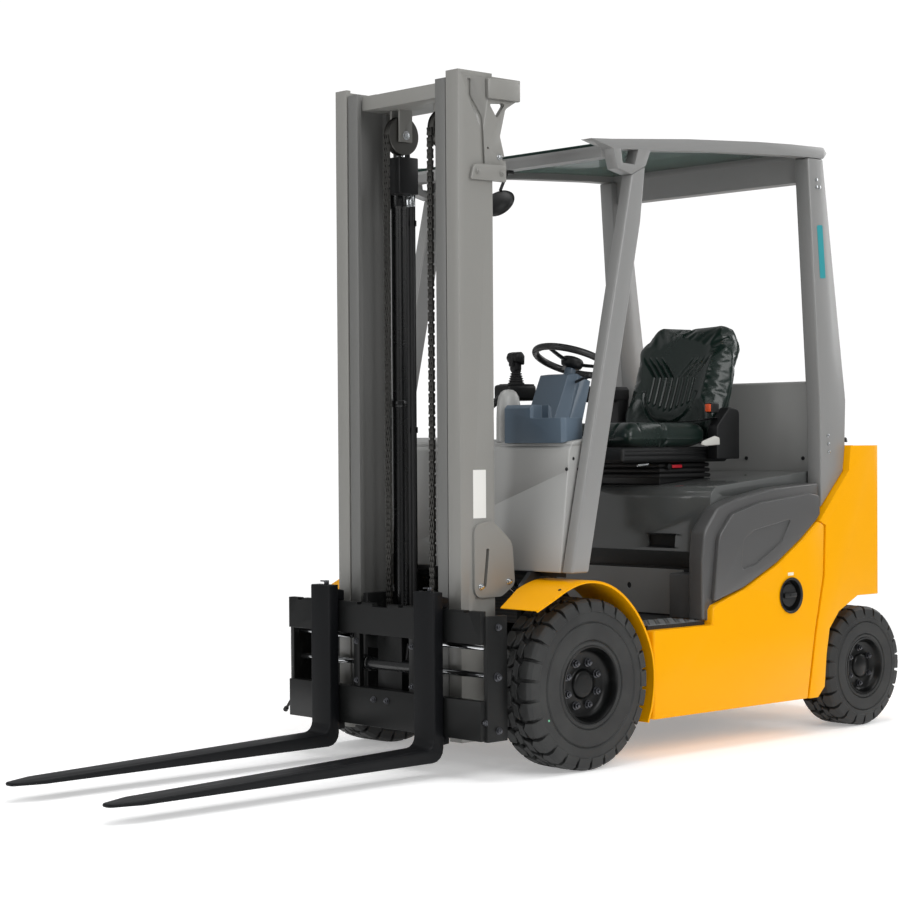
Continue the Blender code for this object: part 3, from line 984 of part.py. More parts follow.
# ---- tilt cylinders -----------------------------------------------------------------------
ROD_EYE_RADIUS = 0.030
TILT_ROD_RADIUS = 0.0165
near = Vector((TILT_PIN[0], 0, TILT_PIN[1]))
far = Vector((TILT_EYE[0], 0, TILT_EYE[1]))
TILT_REACH = (far - near).length
tilt_way = (far - near).normalized()
BARREL_END = 0.340           # barrel head from its pin
for name, side in SIDES:
    offset = Vector((0, side * TILT_Y, 0))
    across = Vector((0, EYE_HALF_WIDTH, 0))
    start, end = near + offset, far + offset
    barrel = turned([(0.0, 0.020), (TILT_BARREL_RADIUS, 0.020), (TILT_BARREL_RADIUS, BARREL_END),
                     (TILT_ROD_RADIUS + PIN_GAP, BARREL_END), (TILT_ROD_RADIUS + PIN_GAP, 0.055),
                     (0.0, 0.055)], start, tilt_way, 20)
    barrel = fuse(barrel, rod(start - across, start + across, 0.034, 20))
    barrel = cut(barrel, rod(start - across * 2, start + across * 2, TILT_PIN_RADIUS + PIN_GAP, 16))
    barrel = node(f"tilt_barrel_{name}", barrel, BLACK_PAINT)
    pivot(f"tilt_axis_{name}", start, [barrel])
    tilt_rod = fuse(rod(start + tilt_way * 0.100, end - tilt_way * 0.020, TILT_ROD_RADIUS, 20),
                    rod(end - across, end + across, ROD_EYE_RADIUS, 20))
    tilt_rod = cut(tilt_rod, rod(end - across * 2, end + across * 2, EYE_PIN_RADIUS + 0.0030, 16))
    tilt_rod = node(f"tilt_rod_{name}", tilt_rod, CHROME)
    pivot(f"tilt_slide_{name}", end, [tilt_rod])
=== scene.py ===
import math

import bmesh
import bpy
from mathutils import Matrix, Vector


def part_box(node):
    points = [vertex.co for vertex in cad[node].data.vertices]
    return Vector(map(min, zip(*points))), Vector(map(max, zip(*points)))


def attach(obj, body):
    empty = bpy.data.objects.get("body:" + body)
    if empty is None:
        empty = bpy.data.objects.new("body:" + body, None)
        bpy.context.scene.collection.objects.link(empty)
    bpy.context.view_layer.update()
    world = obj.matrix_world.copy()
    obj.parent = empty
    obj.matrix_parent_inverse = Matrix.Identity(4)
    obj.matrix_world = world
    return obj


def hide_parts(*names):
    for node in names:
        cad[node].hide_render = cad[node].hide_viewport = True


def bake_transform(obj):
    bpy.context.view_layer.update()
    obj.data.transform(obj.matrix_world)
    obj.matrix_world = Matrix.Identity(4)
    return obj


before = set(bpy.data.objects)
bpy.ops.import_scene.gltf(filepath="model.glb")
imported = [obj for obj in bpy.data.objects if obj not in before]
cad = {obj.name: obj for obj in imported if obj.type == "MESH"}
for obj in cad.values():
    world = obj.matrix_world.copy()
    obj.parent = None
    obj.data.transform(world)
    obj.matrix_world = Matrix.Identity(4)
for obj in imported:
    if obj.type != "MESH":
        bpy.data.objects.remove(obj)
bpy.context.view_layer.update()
SIDES = (("left", 1), ("right", -1))

# ---- studio -------------------------------------------------------------------------------
# A plain pale floor that runs out of view, two large soft boxes and an overhead one,
# and a long lens at standing height off the truck's front left corner.


def linear(colour):
    """sRGB hex colour as linear red, green, blue, alpha."""
    parts = [((colour >> shift) & 255) / 255 for shift in (16, 8, 0)]
    return tuple(c / 12.92 if c <= 0.04045 else ((c + 0.055) / 1.055) ** 2.4 for c in parts) + (1.0,)


def add_node(tree, kind, links=(), **settings):
    """Adds a shader node with its settings, and links (input name or index, output socket)."""
    node = tree.nodes.new(kind)
    for name, value in settings.items():
        if hasattr(node, name):
            setattr(node, name, value)
        else:
            node.inputs[name.replace("_", " ")].default_value = value
    for socket, source in links:
        tree.links.new(source, node.inputs[socket])
    return node


def only(*objects):
    """Makes these the only selected objects, the first one active."""
    bpy.ops.object.select_all(action="DESELECT")
    for obj in objects:
        obj.select_set(True)
    bpy.context.view_layer.objects.active = objects[0]
    return objects[0]


# Matt white paper: it bounces light up into the chassis, and fades out well before its edge.
studio_floor = bpy.data.materials.new("studio_floor_matt_white")
studio_floor.use_nodes = True
tree = studio_floor.node_tree
floor_shader = tree.nodes["Principled BSDF"]
floor_shader.inputs["Base Color"].default_value = linear(0xF6F6F6)
floor_shader.inputs["Roughness"].default_value = 0.70
floor_shader.inputs["Emission Color"].default_value = linear(0xFFFFFF)
floor_shader.inputs["Emission Strength"].default_value = 0.30
spot = add_node(tree, "ShaderNodeTexCoord").outputs["Object"]
reach = add_node(tree, "ShaderNodeVectorMath", [(0, spot)], operation="LENGTH")
fade = add_node(tree, "ShaderNodeMapRange", [("Value", reach.outputs["Value"])],
                interpolation_type="SMOOTHSTEP")
fade.inputs["From Min"].default_value = 2.4
fade.inputs["From Max"].default_value = 6.0
clear = add_node(tree, "ShaderNodeBsdfTransparent")
blend = add_node(tree, "ShaderNodeMixShader", [(0, fade.outputs["Result"]), (1, floor_shader.outputs["BSDF"]),
                                               (2, clear.outputs["BSDF"])])
tree.links.new(blend.outputs["Shader"], tree.nodes["Material Output"].inputs["Surface"])
bpy.ops.mesh.primitive_plane_add(size=80.0, location=(0.0, 0.0, -0.0005))
floor = bpy.context.object
floor.name = "studio_floor"
floor.data.materials.append(studio_floor)

world = bpy.data.worlds.new("studio_air")
bpy.context.scene.world = world
world.use_nodes = True
tree = world.node_tree
air = tree.nodes["Background"]
air.inputs["Color"].default_value = linear(0xFAFBFC)
air.inputs["Strength"].default_value = 0.36
backdrop = add_node(tree, "ShaderNodeBackground")
backdrop.inputs["Color"].default_value = linear(0xFFFFFF)
backdrop.inputs["Strength"].default_value = 1.05
path = add_node(tree, "ShaderNodeLightPath")
seen = add_node(tree, "ShaderNodeMixShader", [(0, path.outputs["Is Camera Ray"]),
                                              (1, air.outputs["Background"]),
                                              (2, backdrop.outputs["Background"])])
tree.links.new(seen.outputs["Shader"], tree.nodes["World Output"].inputs["Surface"])

EYE = Vector((5.0269, 5.3195, 1.0715))
YAW, PITCH, ROLL = -2.3193, -0.0193, -0.0064
ahead = Vector((math.cos(PITCH) * math.cos(YAW), math.cos(PITCH) * math.sin(YAW), math.sin(PITCH)))
across = ahead.cross(Vector((0, 0, 1))).normalized()
above = across.cross(ahead)
across_rolled = math.cos(ROLL) * across + math.sin(ROLL) * above
above_rolled = math.cos(ROLL) * above - math.sin(ROLL) * across
lens = bpy.data.cameras.new("long_lens")
lens.sensor_width = 36.0
lens.lens = 84.54
lens.shift_x = -0.0221
lens.shift_y = 0.0331
lens.clip_end = 200.0
camera = bpy.data.objects.new("camera", lens)
turn = Matrix((across_rolled, above_rolled, -ahead)).transposed().to_4x4()
camera.matrix_world = Matrix.Translation(EYE) @ turn
bpy.context.scene.collection.objects.link(camera)
bpy.context.scene.camera = camera

SOFT_BOXES = (
    ("key", (0.5, 6.5, 4.2), (0.0, 0.2, 0.9), 4.5, 235.0),
    ("front", (7.5, -1.5, 3.2), (0.4, 0.0, 0.9), 3.5, 150.0),
    ("overhead", (0.0, 0.0, 6.5), (0.0, 0.0, 0.0), 6.0, 270.0),
    ("back", (-6.0, 1.0, 3.0), (0.0, 0.0, 1.0), 3.0, 90.0),
)
for name, place, aim, size, watts in SOFT_BOXES:
    light = bpy.data.lights.new(f"soft_box_{name}", "AREA")
    light.shape = "SQUARE"
    light.size = size
    light.energy = watts
    lamp = bpy.data.objects.new(f"soft_box_{name}", light)
    lamp.location = place
    lamp.rotation_euler = (Vector(aim) - Vector(place)).to_track_quat("-Z", "Y").to_euler()
    bpy.context.scene.collection.objects.link(lamp)

bpy.context.scene.view_settings.view_transform = "Standard"

# ---- chassis frame, axles and engine -------------------------------------------------------
# The welded plate frame and the cast axles carry one coat of satin black chassis paint.


def painted(name, colour, roughness, coat=0.0, peel=0.05, metal=0.0, speck=0.06, shine=0.5):
    """Sprayed paint: a slightly uneven colour, and orange peel with waves 3 to 4 mm apart."""
    made = bpy.data.materials.new(name)
    made.use_nodes = True
    tree = made.node_tree
    shader = tree.nodes["Principled BSDF"]
    place = add_node(tree, "ShaderNodeTexCoord").outputs["Object"]
    cloud = add_node(tree, "ShaderNodeTexNoise", [("Vector", place)], Scale=2.6, Detail=4.0)
    shade = linear(colour)
    deep = tuple(c * (1.0 - speck) for c in shade[:3]) + (1.0,)
    pale = tuple(min(1.0, c * (1.0 + speck)) for c in shade[:3]) + (1.0,)
    mix = add_node(tree, "ShaderNodeMix", [("Factor", cloud.outputs["Fac"])], data_type="RGBA")
    mix.inputs[6].default_value = deep
    mix.inputs[7].default_value = pale
    tree.links.new(mix.outputs[2], shader.inputs["Base Color"])
    film = add_node(tree, "ShaderNodeTexNoise", [("Vector", place)], Scale=9.0, Detail=3.0)
    gloss = add_node(tree, "ShaderNodeMapRange", [("Value", film.outputs["Fac"])])
    gloss.inputs["To Min"].default_value = max(0.04, roughness - 0.05)
    gloss.inputs["To Max"].default_value = roughness + 0.07
    tree.links.new(gloss.outputs["Result"], shader.inputs["Roughness"])
    waves = add_node(tree, "ShaderNodeTexNoise", [("Vector", place)], Scale=280.0, Detail=2.0)
    bump = add_node(tree, "ShaderNodeBump", [("Height", waves.outputs["Fac"])], Distance=0.0004)
    bump.inputs["Strength"].default_value = peel
    tree.links.new(bump.outputs["Normal"], shader.inputs["Normal"])
    shader.inputs["Metallic"].default_value = metal
    shader.inputs["Specular IOR Level"].default_value = shine
    shader.inputs["Coat Weight"].default_value = coat
    shader.inputs["Coat Roughness"].default_value = 0.12
    return made


def fitted(piece, body, slot, look, *stands_for):
    """Gives a finished piece its material and its body; the slot argument is not used."""
    if look:
        piece.data.materials.clear()
        piece.data.materials.append(look)
    if body:
        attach(piece, body)
    if stands_for:
        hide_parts(*stands_for)
    return piece


def coated(node, look):
    """A CAD node that keeps its own shape gets its finish."""
    cad[node].data.materials.clear()
    cad[node].data.materials.append(look)


def softened(piece, width, segments=2, angle=30.0):
    """Rounds the edges sharper than an angle, and shades the rest smooth."""
    soft = piece.modifiers.new("rounded_edges", "BEVEL")
    soft.width = width
    soft.segments = segments
    soft.limit_method = "ANGLE"
    soft.angle_limit = math.radians(angle)
    soft.use_clamp_overlap = True
    soft.miter_outer = "MITER_ARC"
    only(piece)
    bpy.ops.object.modifier_apply(modifier=soft.name)
    bpy.ops.object.shade_smooth_by_angle(angle=math.radians(34.0))
    return piece


def pressed(node, name, width, segments=2, angle=30.0):
    """The shape of a CAD node with its facets merged and its edges rounded."""
    piece = cad[node].copy()
    piece.data = cad[node].data.copy()
    piece.name = name
    for key in list(piece.keys()):
        del piece[key]
    piece.parent = None
    bpy.context.scene.collection.objects.link(piece)
    only(piece)
    bpy.ops.object.mode_set(mode="EDIT")
    bpy.ops.mesh.select_all(action="SELECT")
    bpy.ops.mesh.remove_doubles(threshold=0.00002)
    bpy.ops.mesh.dissolve_limited(angle_limit=math.radians(1.0))
    bpy.ops.object.mode_set(mode="OBJECT")
    return softened(piece, width, segments, angle)


# Satin two-pack chassis paint, brushed on thick: near black, a low broad sheen.
chassis_paint = painted("chassis_paint_satin_black", 0x1C1D1E, 0.42, peel=0.10)
for node in ("chassis_frame", "drive_axle", "steer_axle", "knuckle_left", "knuckle_right"):
    coated(node, chassis_paint)
# Cast iron engine and gearbox under grey primer.
engine_primer = painted("engine_primer_grey", 0x4A4C4D, 0.60, peel=0.25)
coated("engine_block", engine_primer)

# ---- side frames and fuel cap ---------------------------------------------------------------
# Thick folded steel sides, sprayed in gloss traffic yellow over a smooth filler, so the
# reflections run straight. The fuel cap sits in a round well low on the left side.


def block(name, low, high, edge=0.002, segments=2):
    """Rectangular piece between two corners, with worked edges."""
    bpy.ops.object.select_all(action="DESELECT")
    size = [abs(b - a) for a, b in zip(low, high)]
    bpy.ops.mesh.primitive_cube_add(size=1.0, location=[(a + b) / 2 for a, b in zip(low, high)])
    piece = bpy.context.object
    piece.name = name
    piece.scale = size
    bpy.ops.object.transform_apply(location=True, rotation=True, scale=True)
    return softened(piece, edge, segments) if edge else piece


def bar(name, start, end, radius, sides=24, edge=0.0, end_radius=None):
    """Round bar or cone between two points, with chamfered rims."""
    start, end = Vector(start), Vector(end)
    bpy.ops.object.select_all(action="DESELECT")
    bpy.ops.mesh.primitive_cone_add(vertices=sides, radius1=radius, depth=(end - start).length,
                                    radius2=radius if end_radius is None else end_radius)
    piece = bpy.context.object
    piece.name = name
    piece.rotation_euler = (end - start).to_track_quat("Z", "Y").to_euler()
    piece.location = (start + end) / 2
    bpy.ops.object.transform_apply(location=True, rotation=True, scale=True)
    if edge:
        return softened(piece, edge, 2, 50.0)
    only(piece)
    bpy.ops.object.shade_smooth_by_angle(angle=math.radians(34.0))
    return piece


def carved(piece, *cutters):
    """Cuts other shapes out of a piece."""
    for cutter in cutters:
        cut = piece.modifiers.new("cut", "BOOLEAN")
        cut.operation = "DIFFERENCE"
        cut.solver = "EXACT"
        cut.object = cutter
        only(piece)
        bpy.ops.object.modifier_apply(modifier=cut.name)
        bpy.data.objects.remove(cutter)
    only(piece)
    bpy.ops.object.shade_smooth_by_angle(angle=math.radians(34.0))
    return piece


def joined(name, *pieces):
    """Several made parts as one piece."""
    only(*pieces)
    if len(pieces) > 1:
        bpy.ops.object.join()
    piece = bpy.context.object
    piece.name = name
    return piece


def as_piece(name, work):
    """A new object made from an edited mesh."""
    bpy.ops.object.select_all(action="DESELECT")
    bpy.ops.mesh.primitive_plane_add(size=0.01, location=(0, 0, 0))
    piece = bpy.context.object
    piece.name = name
    work.to_mesh(piece.data)
    work.free()
    return only(piece)


def spun(name, profile, centre, axis, steps=64):
    """A (radius, reach) profile spun round an axis, as on a lathe."""
    axis = Vector(axis).normalized()
    out = axis.orthogonal().normalized()
    centre = Vector(centre)
    work = bmesh.new()
    points = [work.verts.new(centre + axis * reach + out * radius) for radius, reach in profile]
    for first, second in zip(points, points[1:]):
        work.edges.new((first, second))
    piece = as_piece(name, work)
    bpy.ops.object.mode_set(mode="EDIT")
    bpy.ops.mesh.select_all(action="SELECT")
    bpy.ops.mesh.spin(steps=steps, angle=2 * math.pi, center=centre, axis=axis)
    bpy.ops.mesh.select_all(action="SELECT")
    bpy.ops.mesh.remove_doubles(threshold=0.00003)
    bpy.ops.mesh.normals_make_consistent(inside=False)
    bpy.ops.object.mode_set(mode="OBJECT")
    bpy.ops.object.shade_smooth_by_angle(angle=math.radians(40.0))
    return piece


def plate(name, axis, low, high, outline, edge=0.0015, segments=2):
    """A flat outline given thickness along X, Y or Z, with worked edges."""
    lift = {"X": lambda a, b: (low, a, b), "Y": lambda a, b: (a, low, b), "Z": lambda a, b: (a, b, low)}[axis]
    work = bmesh.new()
    work.faces.new([work.verts.new(lift(a, b)) for a, b in outline])
    piece = as_piece(name, work)
    bpy.ops.object.mode_set(mode="EDIT")
    bpy.ops.mesh.select_all(action="SELECT")
    bpy.ops.mesh.extrude_region_move(TRANSFORM_OT_translate={
        "value": {"X": (high - low, 0, 0), "Y": (0, high - low, 0), "Z": (0, 0, high - low)}[axis]})
    bpy.ops.mesh.select_all(action="SELECT")
    bpy.ops.mesh.normals_make_consistent(inside=False)
    bpy.ops.object.mode_set(mode="OBJECT")
    return softened(piece, edge, segments) if edge else piece


def filleted(corners, steps=5):
    """Outline whose corners (a, b, radius) become arcs."""
    points = []
    for i, (a, b, radius) in enumerate(corners):
        here = Vector((a, b))
        if not radius:
            points.append((a, b))
            continue
        before = (Vector(corners[i - 1][:2]) - here).normalized()
        after = (Vector(corners[(i + 1) % len(corners)][:2]) - here).normalized()
        half = before.angle(after) / 2
        reach = radius / math.tan(half)
        middle = here + (before + after).normalized() * (radius / math.sin(half))
        first = here + before * reach - middle
        sweep = first.angle_signed(here + after * reach - middle)
        for k in range(steps + 1):
            turned = Matrix.Rotation(-sweep * k / steps, 2) @ first
            points.append(tuple(middle + turned))
    return points


# Gloss two-pack yellow: saturated colour, hardly any orange peel.
yellow_gloss = painted("gloss_yellow_two_pack", 0xEFA600, 0.34, coat=0.05, peel=0.03, speck=0.02, shine=0.10)
# Carbon-black moulded nylon for caps, plugs and clips: dull, with a fine mould grain.
black_nylon = painted("moulded_black_nylon", 0x0F1011, 0.46, peel=0.30, shine=0.4)
CAP = Vector((-0.958, 0.545, 0.513))
for name, side in SIDES:
    side_frame = pressed(f"side_frame_{name}", f"side_plate_{name}", 0.0015, 2, 50.0)
    if name == "left":
        well = bar("well", CAP + Vector((0, 0.03, 0)), CAP + Vector((0, -0.030, 0)), 0.060, 40)
        side_frame = carved(side_frame, well)
    fitted(side_frame, "chassis", "yellow_paint", yellow_gloss, f"side_frame_{name}")
well_liner = spun("fuel_well_liner", [(0.0, -0.028), (0.0595, -0.028), (0.0595, -0.001), (0.0635, 0.002),
                                      (0.0645, 0.0045), (0.0600, 0.0045), (0.0560, 0.001),
                                      (0.0555, -0.024), (0.0, -0.024)], CAP, (0, 1, 0), 48)
fitted(well_liner, "chassis", "black_plastic", black_nylon)
cap_body = spun("cap_body", [(0.0, -0.024), (0.041, -0.024), (0.043, -0.012), (0.040, -0.007),
                             (0.030, -0.006), (0.0, -0.006)], CAP, (0, 1, 0), 40)
cap_grip = block("cap_grip", CAP + Vector((-0.034, -0.010, -0.009)), CAP + Vector((0.034, 0.003, 0.009)),
                 0.004)
cap_lock = bar("cap_lock", CAP + Vector((0, 0.000, 0)), CAP + Vector((0, 0.0045, 0)), 0.006, 20, 0.001)
fitted(joined("fuel_cap", cap_body, cap_grip, cap_lock), "chassis", "black_plastic", black_nylon)
blank_tag = block("fuel_tag_blank", CAP + Vector((-0.016, -0.0002, 0.071)),
                  CAP + Vector((0.016, 0.0006, 0.082)), 0.0003, 1)
# Cream printed vinyl left blank: a matt patch over the fuel cap.
tag_vinyl = painted("printed_vinyl_tag_blank", 0xE9E3C8, 0.42, peel=0.0)
fitted(blank_tag, "chassis", "yellow_paint", tag_vinyl)

# ---- side covers over the engine bay -------------------------------------------------------
# Injection-moulded covers in mid grey ABS, semi-gloss with a fine spark-eroded grain. Each has
# a raised outer panel with a long drop-shaped hollow pressed into it.


def moulded(name, colour, roughness, grain_mm=1.2, grain=0.12, speck=0.03):
    """Moulded plastic: even colour through the wall, with a spark-eroded grain."""
    made = bpy.data.materials.new(name)
    made.use_nodes = True
    tree = made.node_tree
    shader = tree.nodes["Principled BSDF"]
    place = add_node(tree, "ShaderNodeTexCoord").outputs["Object"]
    flow = add_node(tree, "ShaderNodeTexNoise", [("Vector", place)], Scale=3.5, Detail=3.0)
    shade = linear(colour)
    mix = add_node(tree, "ShaderNodeMix", [("Factor", flow.outputs["Fac"])], data_type="RGBA")
    mix.inputs[6].default_value = tuple(c * (1.0 - speck) for c in shade[:3]) + (1.0,)
    mix.inputs[7].default_value = tuple(c * (1.0 + speck) for c in shade[:3]) + (1.0,)
    tree.links.new(mix.outputs[2], shader.inputs["Base Color"])
    rub = add_node(tree, "ShaderNodeTexNoise", [("Vector", place)], Scale=14.0, Detail=5.0)
    gloss = add_node(tree, "ShaderNodeMapRange", [("Value", rub.outputs["Fac"])])
    gloss.inputs["To Min"].default_value = roughness - 0.015
    gloss.inputs["To Max"].default_value = roughness + 0.015
    tree.links.new(gloss.outputs["Result"], shader.inputs["Roughness"])
    pits = add_node(tree, "ShaderNodeTexVoronoi", [("Vector", place)], Scale=1000.0 / grain_mm)
    bump = add_node(tree, "ShaderNodeBump", [("Height", pits.outputs["Distance"])], Distance=0.0001)
    bump.inputs["Strength"].default_value = grain
    tree.links.new(bump.outputs["Normal"], shader.inputs["Normal"])
    shader.inputs["IOR"].default_value = 1.53
    return made


# Semi-gloss grey ABS, 1.2 mm grain: a soft sheen along every rolled edge.
hood_abs = moulded("moulded_abs_grey_semi_gloss", 0x4C4C4C, 0.33)
DROP = [(-0.695, 0.616, 0.012), (-0.706, 0.721, 0.030), (-0.764, 0.752, 0.040), (-0.971, 0.786, 0.006),
        (-0.918, 0.706, 0.060), (-0.775, 0.632, 0.060)]
BAND = [(-0.508, 0.4480, 0), (-0.508, 0.6600, 0.060), (-0.520, 0.7550, 0.060), (-0.590, 0.8340, 0.060),
        (-0.694, 0.8640, 0.080), (-0.900, 0.8973, 0.080), (-1.151, 0.9120, 0.010), (-1.151, 0.8060, 0),
        (-1.120, 0.7760, 0), (-1.030, 0.7120, 0), (-0.889, 0.6290, 0), (-0.707, 0.5500, 0),
        (-0.545, 0.5020, 0),
        (-0.5300, 0.4880, 0), (-0.5300, 0.4480, 0)]
PANEL = [(-0.5480, 0.5120, 0.008), (-0.5775, 0.7375, 0.060), (-0.6500, 0.8120, 0.050),
         (-0.7950, 0.8480, 0.080),
         (-1.0820, 0.8755, 0.080), (-1.1360, 0.8660, 0.015), (-1.1360, 0.7980, 0.006), (-1.1180, 0.7790, 0),
         (-1.0280, 0.7150, 0), (-0.8870, 0.6320, 0), (-0.7050, 0.5530, 0)]
for name, side in SIDES:
    band = plate("band", "Y", side * 0.4555, side * 0.5210, filleted(BAND), 0.0100, 4)
    panel = plate("panel", "Y", side * 0.5150, side * 0.5390, filleted(PANEL), 0.0050, 3)
    panel = carved(panel, plate("hollow", "Y", side * 0.5325, side * 0.5600, filleted(DROP), 0.0))
    cover = joined(f"side_cover_panel_{name}", band, softened(panel, 0.0020, 2, 50.0))
    fitted(cover, "chassis", "hood_plastic", hood_abs, f"side_cover_{name}")

# ---- fenders over the drive wheels -----------------------------------------------------------
# Thin pressed steel wings bent round the tyres with a rolled outer edge, in the same gloss
# yellow. Small dome-headed screws hold them; the front tip slopes down ahead of the wheel.


def eased(points, times=2):
    """Cuts the corners of an open line until it bends smoothly."""
    for _ in range(times):
        finer = [points[0]]
        for (a, b), (c, d) in zip(points, points[1:]):
            finer += [(a * 0.75 + c * 0.25, b * 0.75 + d * 0.25), (a * 0.25 + c * 0.75, b * 0.25 + d * 0.75)]
        points = finer + [points[-1]]
    return points


def thickened(line, depth):
    """Outline of a sheet of a given thickness hanging under an open line."""
    under = []
    for i, (a, b) in enumerate(line):
        before, after = line[max(0, i - 1)], line[min(len(line) - 1, i + 1)]
        way = Vector((after[0] - before[0], after[1] - before[1])).normalized()
        under.append((a + way.y * depth, b - way.x * depth))
    return line + under[::-1]


WING = eased([(-0.1960, 0.1300), (-0.2180, 0.1850), (-0.2290, 0.2600), (-0.2270, 0.3250), (-0.2120, 0.3850),
              (-0.1780, 0.4550), (-0.1250, 0.5250), (-0.0500, 0.5850), (0.0300, 0.6150), (0.1100, 0.6190),
              (0.1850, 0.5990), (0.2500, 0.5680), (0.3260, 0.5350)])
for name, side in SIDES:
    low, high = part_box(f"fender_{name}")
    inner, outer = (low.y, high.y) if side > 0 else (high.y, low.y)
    sheet = plate("sheet", "Y", inner, outer, thickened(WING, 0.0040), 0.0012, 1)
    corner = [(0.180, inner - side * 0.01), (0.360, inner - side * 0.01), (0.360, inner + side * 0.055)]
    sheet = carved(sheet, plate("corner", "Z", 0.45, 0.66, corner, 0))
    lip = plate("lip", "Y", outer - side * 0.0055, outer, thickened(WING, 0.0085), 0.0022, 2)
    fitted(joined(f"wing_{name}", sheet, lip), "chassis", "yellow_paint", yellow_gloss, f"fender_{name}")
    heads = []
    for spot, way in (((0.200, outer - side * 0.024, 0.5928), (0.43, 0, 0.90)),
                      ((-0.100, outer - side * 0.024, 0.5445), (-0.67, 0, 0.74)),
                      ((-0.2285, outer - side * 0.024, 0.2600), (-1, 0, 0))):
        spot, way = Vector(spot), Vector(way).normalized()
        heads.append(bar("head", spot - way * 0.003, spot + way * 0.0015, 0.0055, 16, 0.0012))
    fitted(joined(f"wing_screws_{name}", *heads), "chassis", "black_plastic", black_nylon)

# ---- wheels -----------------------------------------------------------------------------------
# Super-elastic tyres: a smooth moulded side wall with turned rings, square shoulder lugs and
# two rows of slanted middle blocks, vulcanised on pressed steel rims sprayed gloss black.


def tread_block(work, place, top, low_radius, sunk=0.0015):
    """One rubber block: a top outline of (arc, width, radius) points and a root below it."""
    upper, lower = [], []
    middle = sum(p[0] for p in top) / len(top), sum(p[1] for p in top) / len(top)
    for arc, reach, radius in top:
        upper.append(work.verts.new(place(arc, reach, radius)))
        lower.append(work.verts.new(place(arc + math.copysign(sunk, arc - middle[0]),
                                          reach + math.copysign(sunk, reach - middle[1]), low_radius)))
    work.faces.new(upper)
    work.faces.new(lower[::-1])
    for i in range(len(top)):
        k = (i + 1) % len(top)
        work.faces.new((upper[k], upper[i], lower[i], lower[k]))


def tread(name, centre, radius, half, lugs):
    """All blocks of one tyre, round an axle along Y."""
    work = bmesh.new()
    pitch = 2 * math.pi * radius / lugs
    w = pitch * 0.405
    for number in range(lugs):
        for side in (1, -1):
            start = number * pitch + (pitch * 0.5 if side > 0 else 0.0)

            def place(arc, reach, at_radius):
                turned = (start + arc) / radius
                return centre + Vector((math.sin(turned) * at_radius, side * reach,
                                        math.cos(turned) * at_radius))

            root = radius - 0.016
            tread_block(work, place, [(-w, half * 0.50, radius), (-w * 0.1, half * 0.32, radius),
                                      (w, half * 0.45, radius), (w, half * 0.78, radius - 0.001),
                                      (-w, half * 0.78, radius - 0.001)], root)
            shoulder = [(half * 0.70, radius - 0.018), (half * 0.70, radius - 0.0012),
                        (half * 0.80, radius - 0.0016), (half * 0.925, radius - 0.012),
                        (half * 0.992, radius - 0.042), (half * 0.90, radius - 0.046)]
            rows = []
            for arc, draft in ((-w, -0.002), (-w * 0.1, 0.0), (w * 0.1, 0.0), (w, 0.002)):
                rows.append([work.verts.new(place(arc + draft * (radius - r) / 0.02 * 0.5, y, r))
                             for y, r in shoulder])
            for first, second in zip(rows, rows[1:]):
                for i in range(6):
                    k = (i + 1) % 6
                    work.faces.new((first[i], first[k], second[k], second[i]))
            work.faces.new(rows[0][::-1])
            work.faces.new(rows[-1])
            slant = half * 0.135
            tread_block(work, place, [(-w * 1.12, half * 0.165 - slant, radius),
                                      (w * 0.62, half * 0.165 - slant, radius),
                                      (w * 1.12, half * 0.165 + slant * 0.9, radius),
                                      (-w * 0.62, half * 0.165 + slant * 0.9, radius)], root)
    bmesh.ops.recalc_face_normals(work, faces=work.faces)
    return softened(as_piece(name, work), 0.0011, 1, 40.0)


def rubbered(name, colour, dust):
    """Moulded tyre rubber: near black, mould sheen on the walls, dust in patches."""
    made = bpy.data.materials.new(name)
    made.use_nodes = True
    tree = made.node_tree
    shader = tree.nodes["Principled BSDF"]
    place = add_node(tree, "ShaderNodeTexCoord").outputs["Object"]
    patches = add_node(tree, "ShaderNodeTexNoise", [("Vector", place)], Scale=11.0, Detail=6.0)
    level = add_node(tree, "ShaderNodeMapRange", [("Value", patches.outputs["Fac"])])
    level.inputs["From Min"].default_value = 0.42
    level.inputs["From Max"].default_value = 0.78
    mix = add_node(tree, "ShaderNodeMix", [("Factor", level.outputs["Result"])], data_type="RGBA")
    mix.inputs[6].default_value = linear(colour)
    mix.inputs[7].default_value = linear(dust)
    tree.links.new(mix.outputs[2], shader.inputs["Base Color"])
    gloss = add_node(tree, "ShaderNodeMapRange", [("Value", patches.outputs["Fac"])])
    gloss.inputs["To Min"].default_value = 0.50
    gloss.inputs["To Max"].default_value = 0.72
    tree.links.new(gloss.outputs["Result"], shader.inputs["Roughness"])
    grain = add_node(tree, "ShaderNodeTexNoise", [("Vector", place)], Scale=420.0, Detail=2.0)
    bump = add_node(tree, "ShaderNodeBump", [("Height", grain.outputs["Fac"])], Distance=0.0004)
    bump.inputs["Strength"].default_value = 0.22
    tree.links.new(bump.outputs["Normal"], shader.inputs["Normal"])
    shader.inputs["IOR"].default_value = 1.52
    return made


# Black carbon-filled rubber, new: mould sheen on the side walls, faint grey dust in patches.
tyre_rubber = rubbered("moulded_tyre_rubber", 0x181919, 0x2C2D2C)
# Gloss black stove enamel on the pressed rims: sharp highlights along every turned step.
rim_enamel = painted("rim_stove_enamel_gloss_black", 0x070808, 0.30, coat=0.0, peel=0.05, shine=0.25)
# Zinc-plated wheel nuts under black chromate.
nut_zinc = painted("wheel_nut_black_zinc", 0x55565A, 0.28, peel=0.0, metal=0.9)
# A dab of green paint marks each tyre's light spot: flat and slightly chalky.
balance_paint = painted("balance_mark_green_paint", 0x6FBF95, 0.5, peel=0.0)


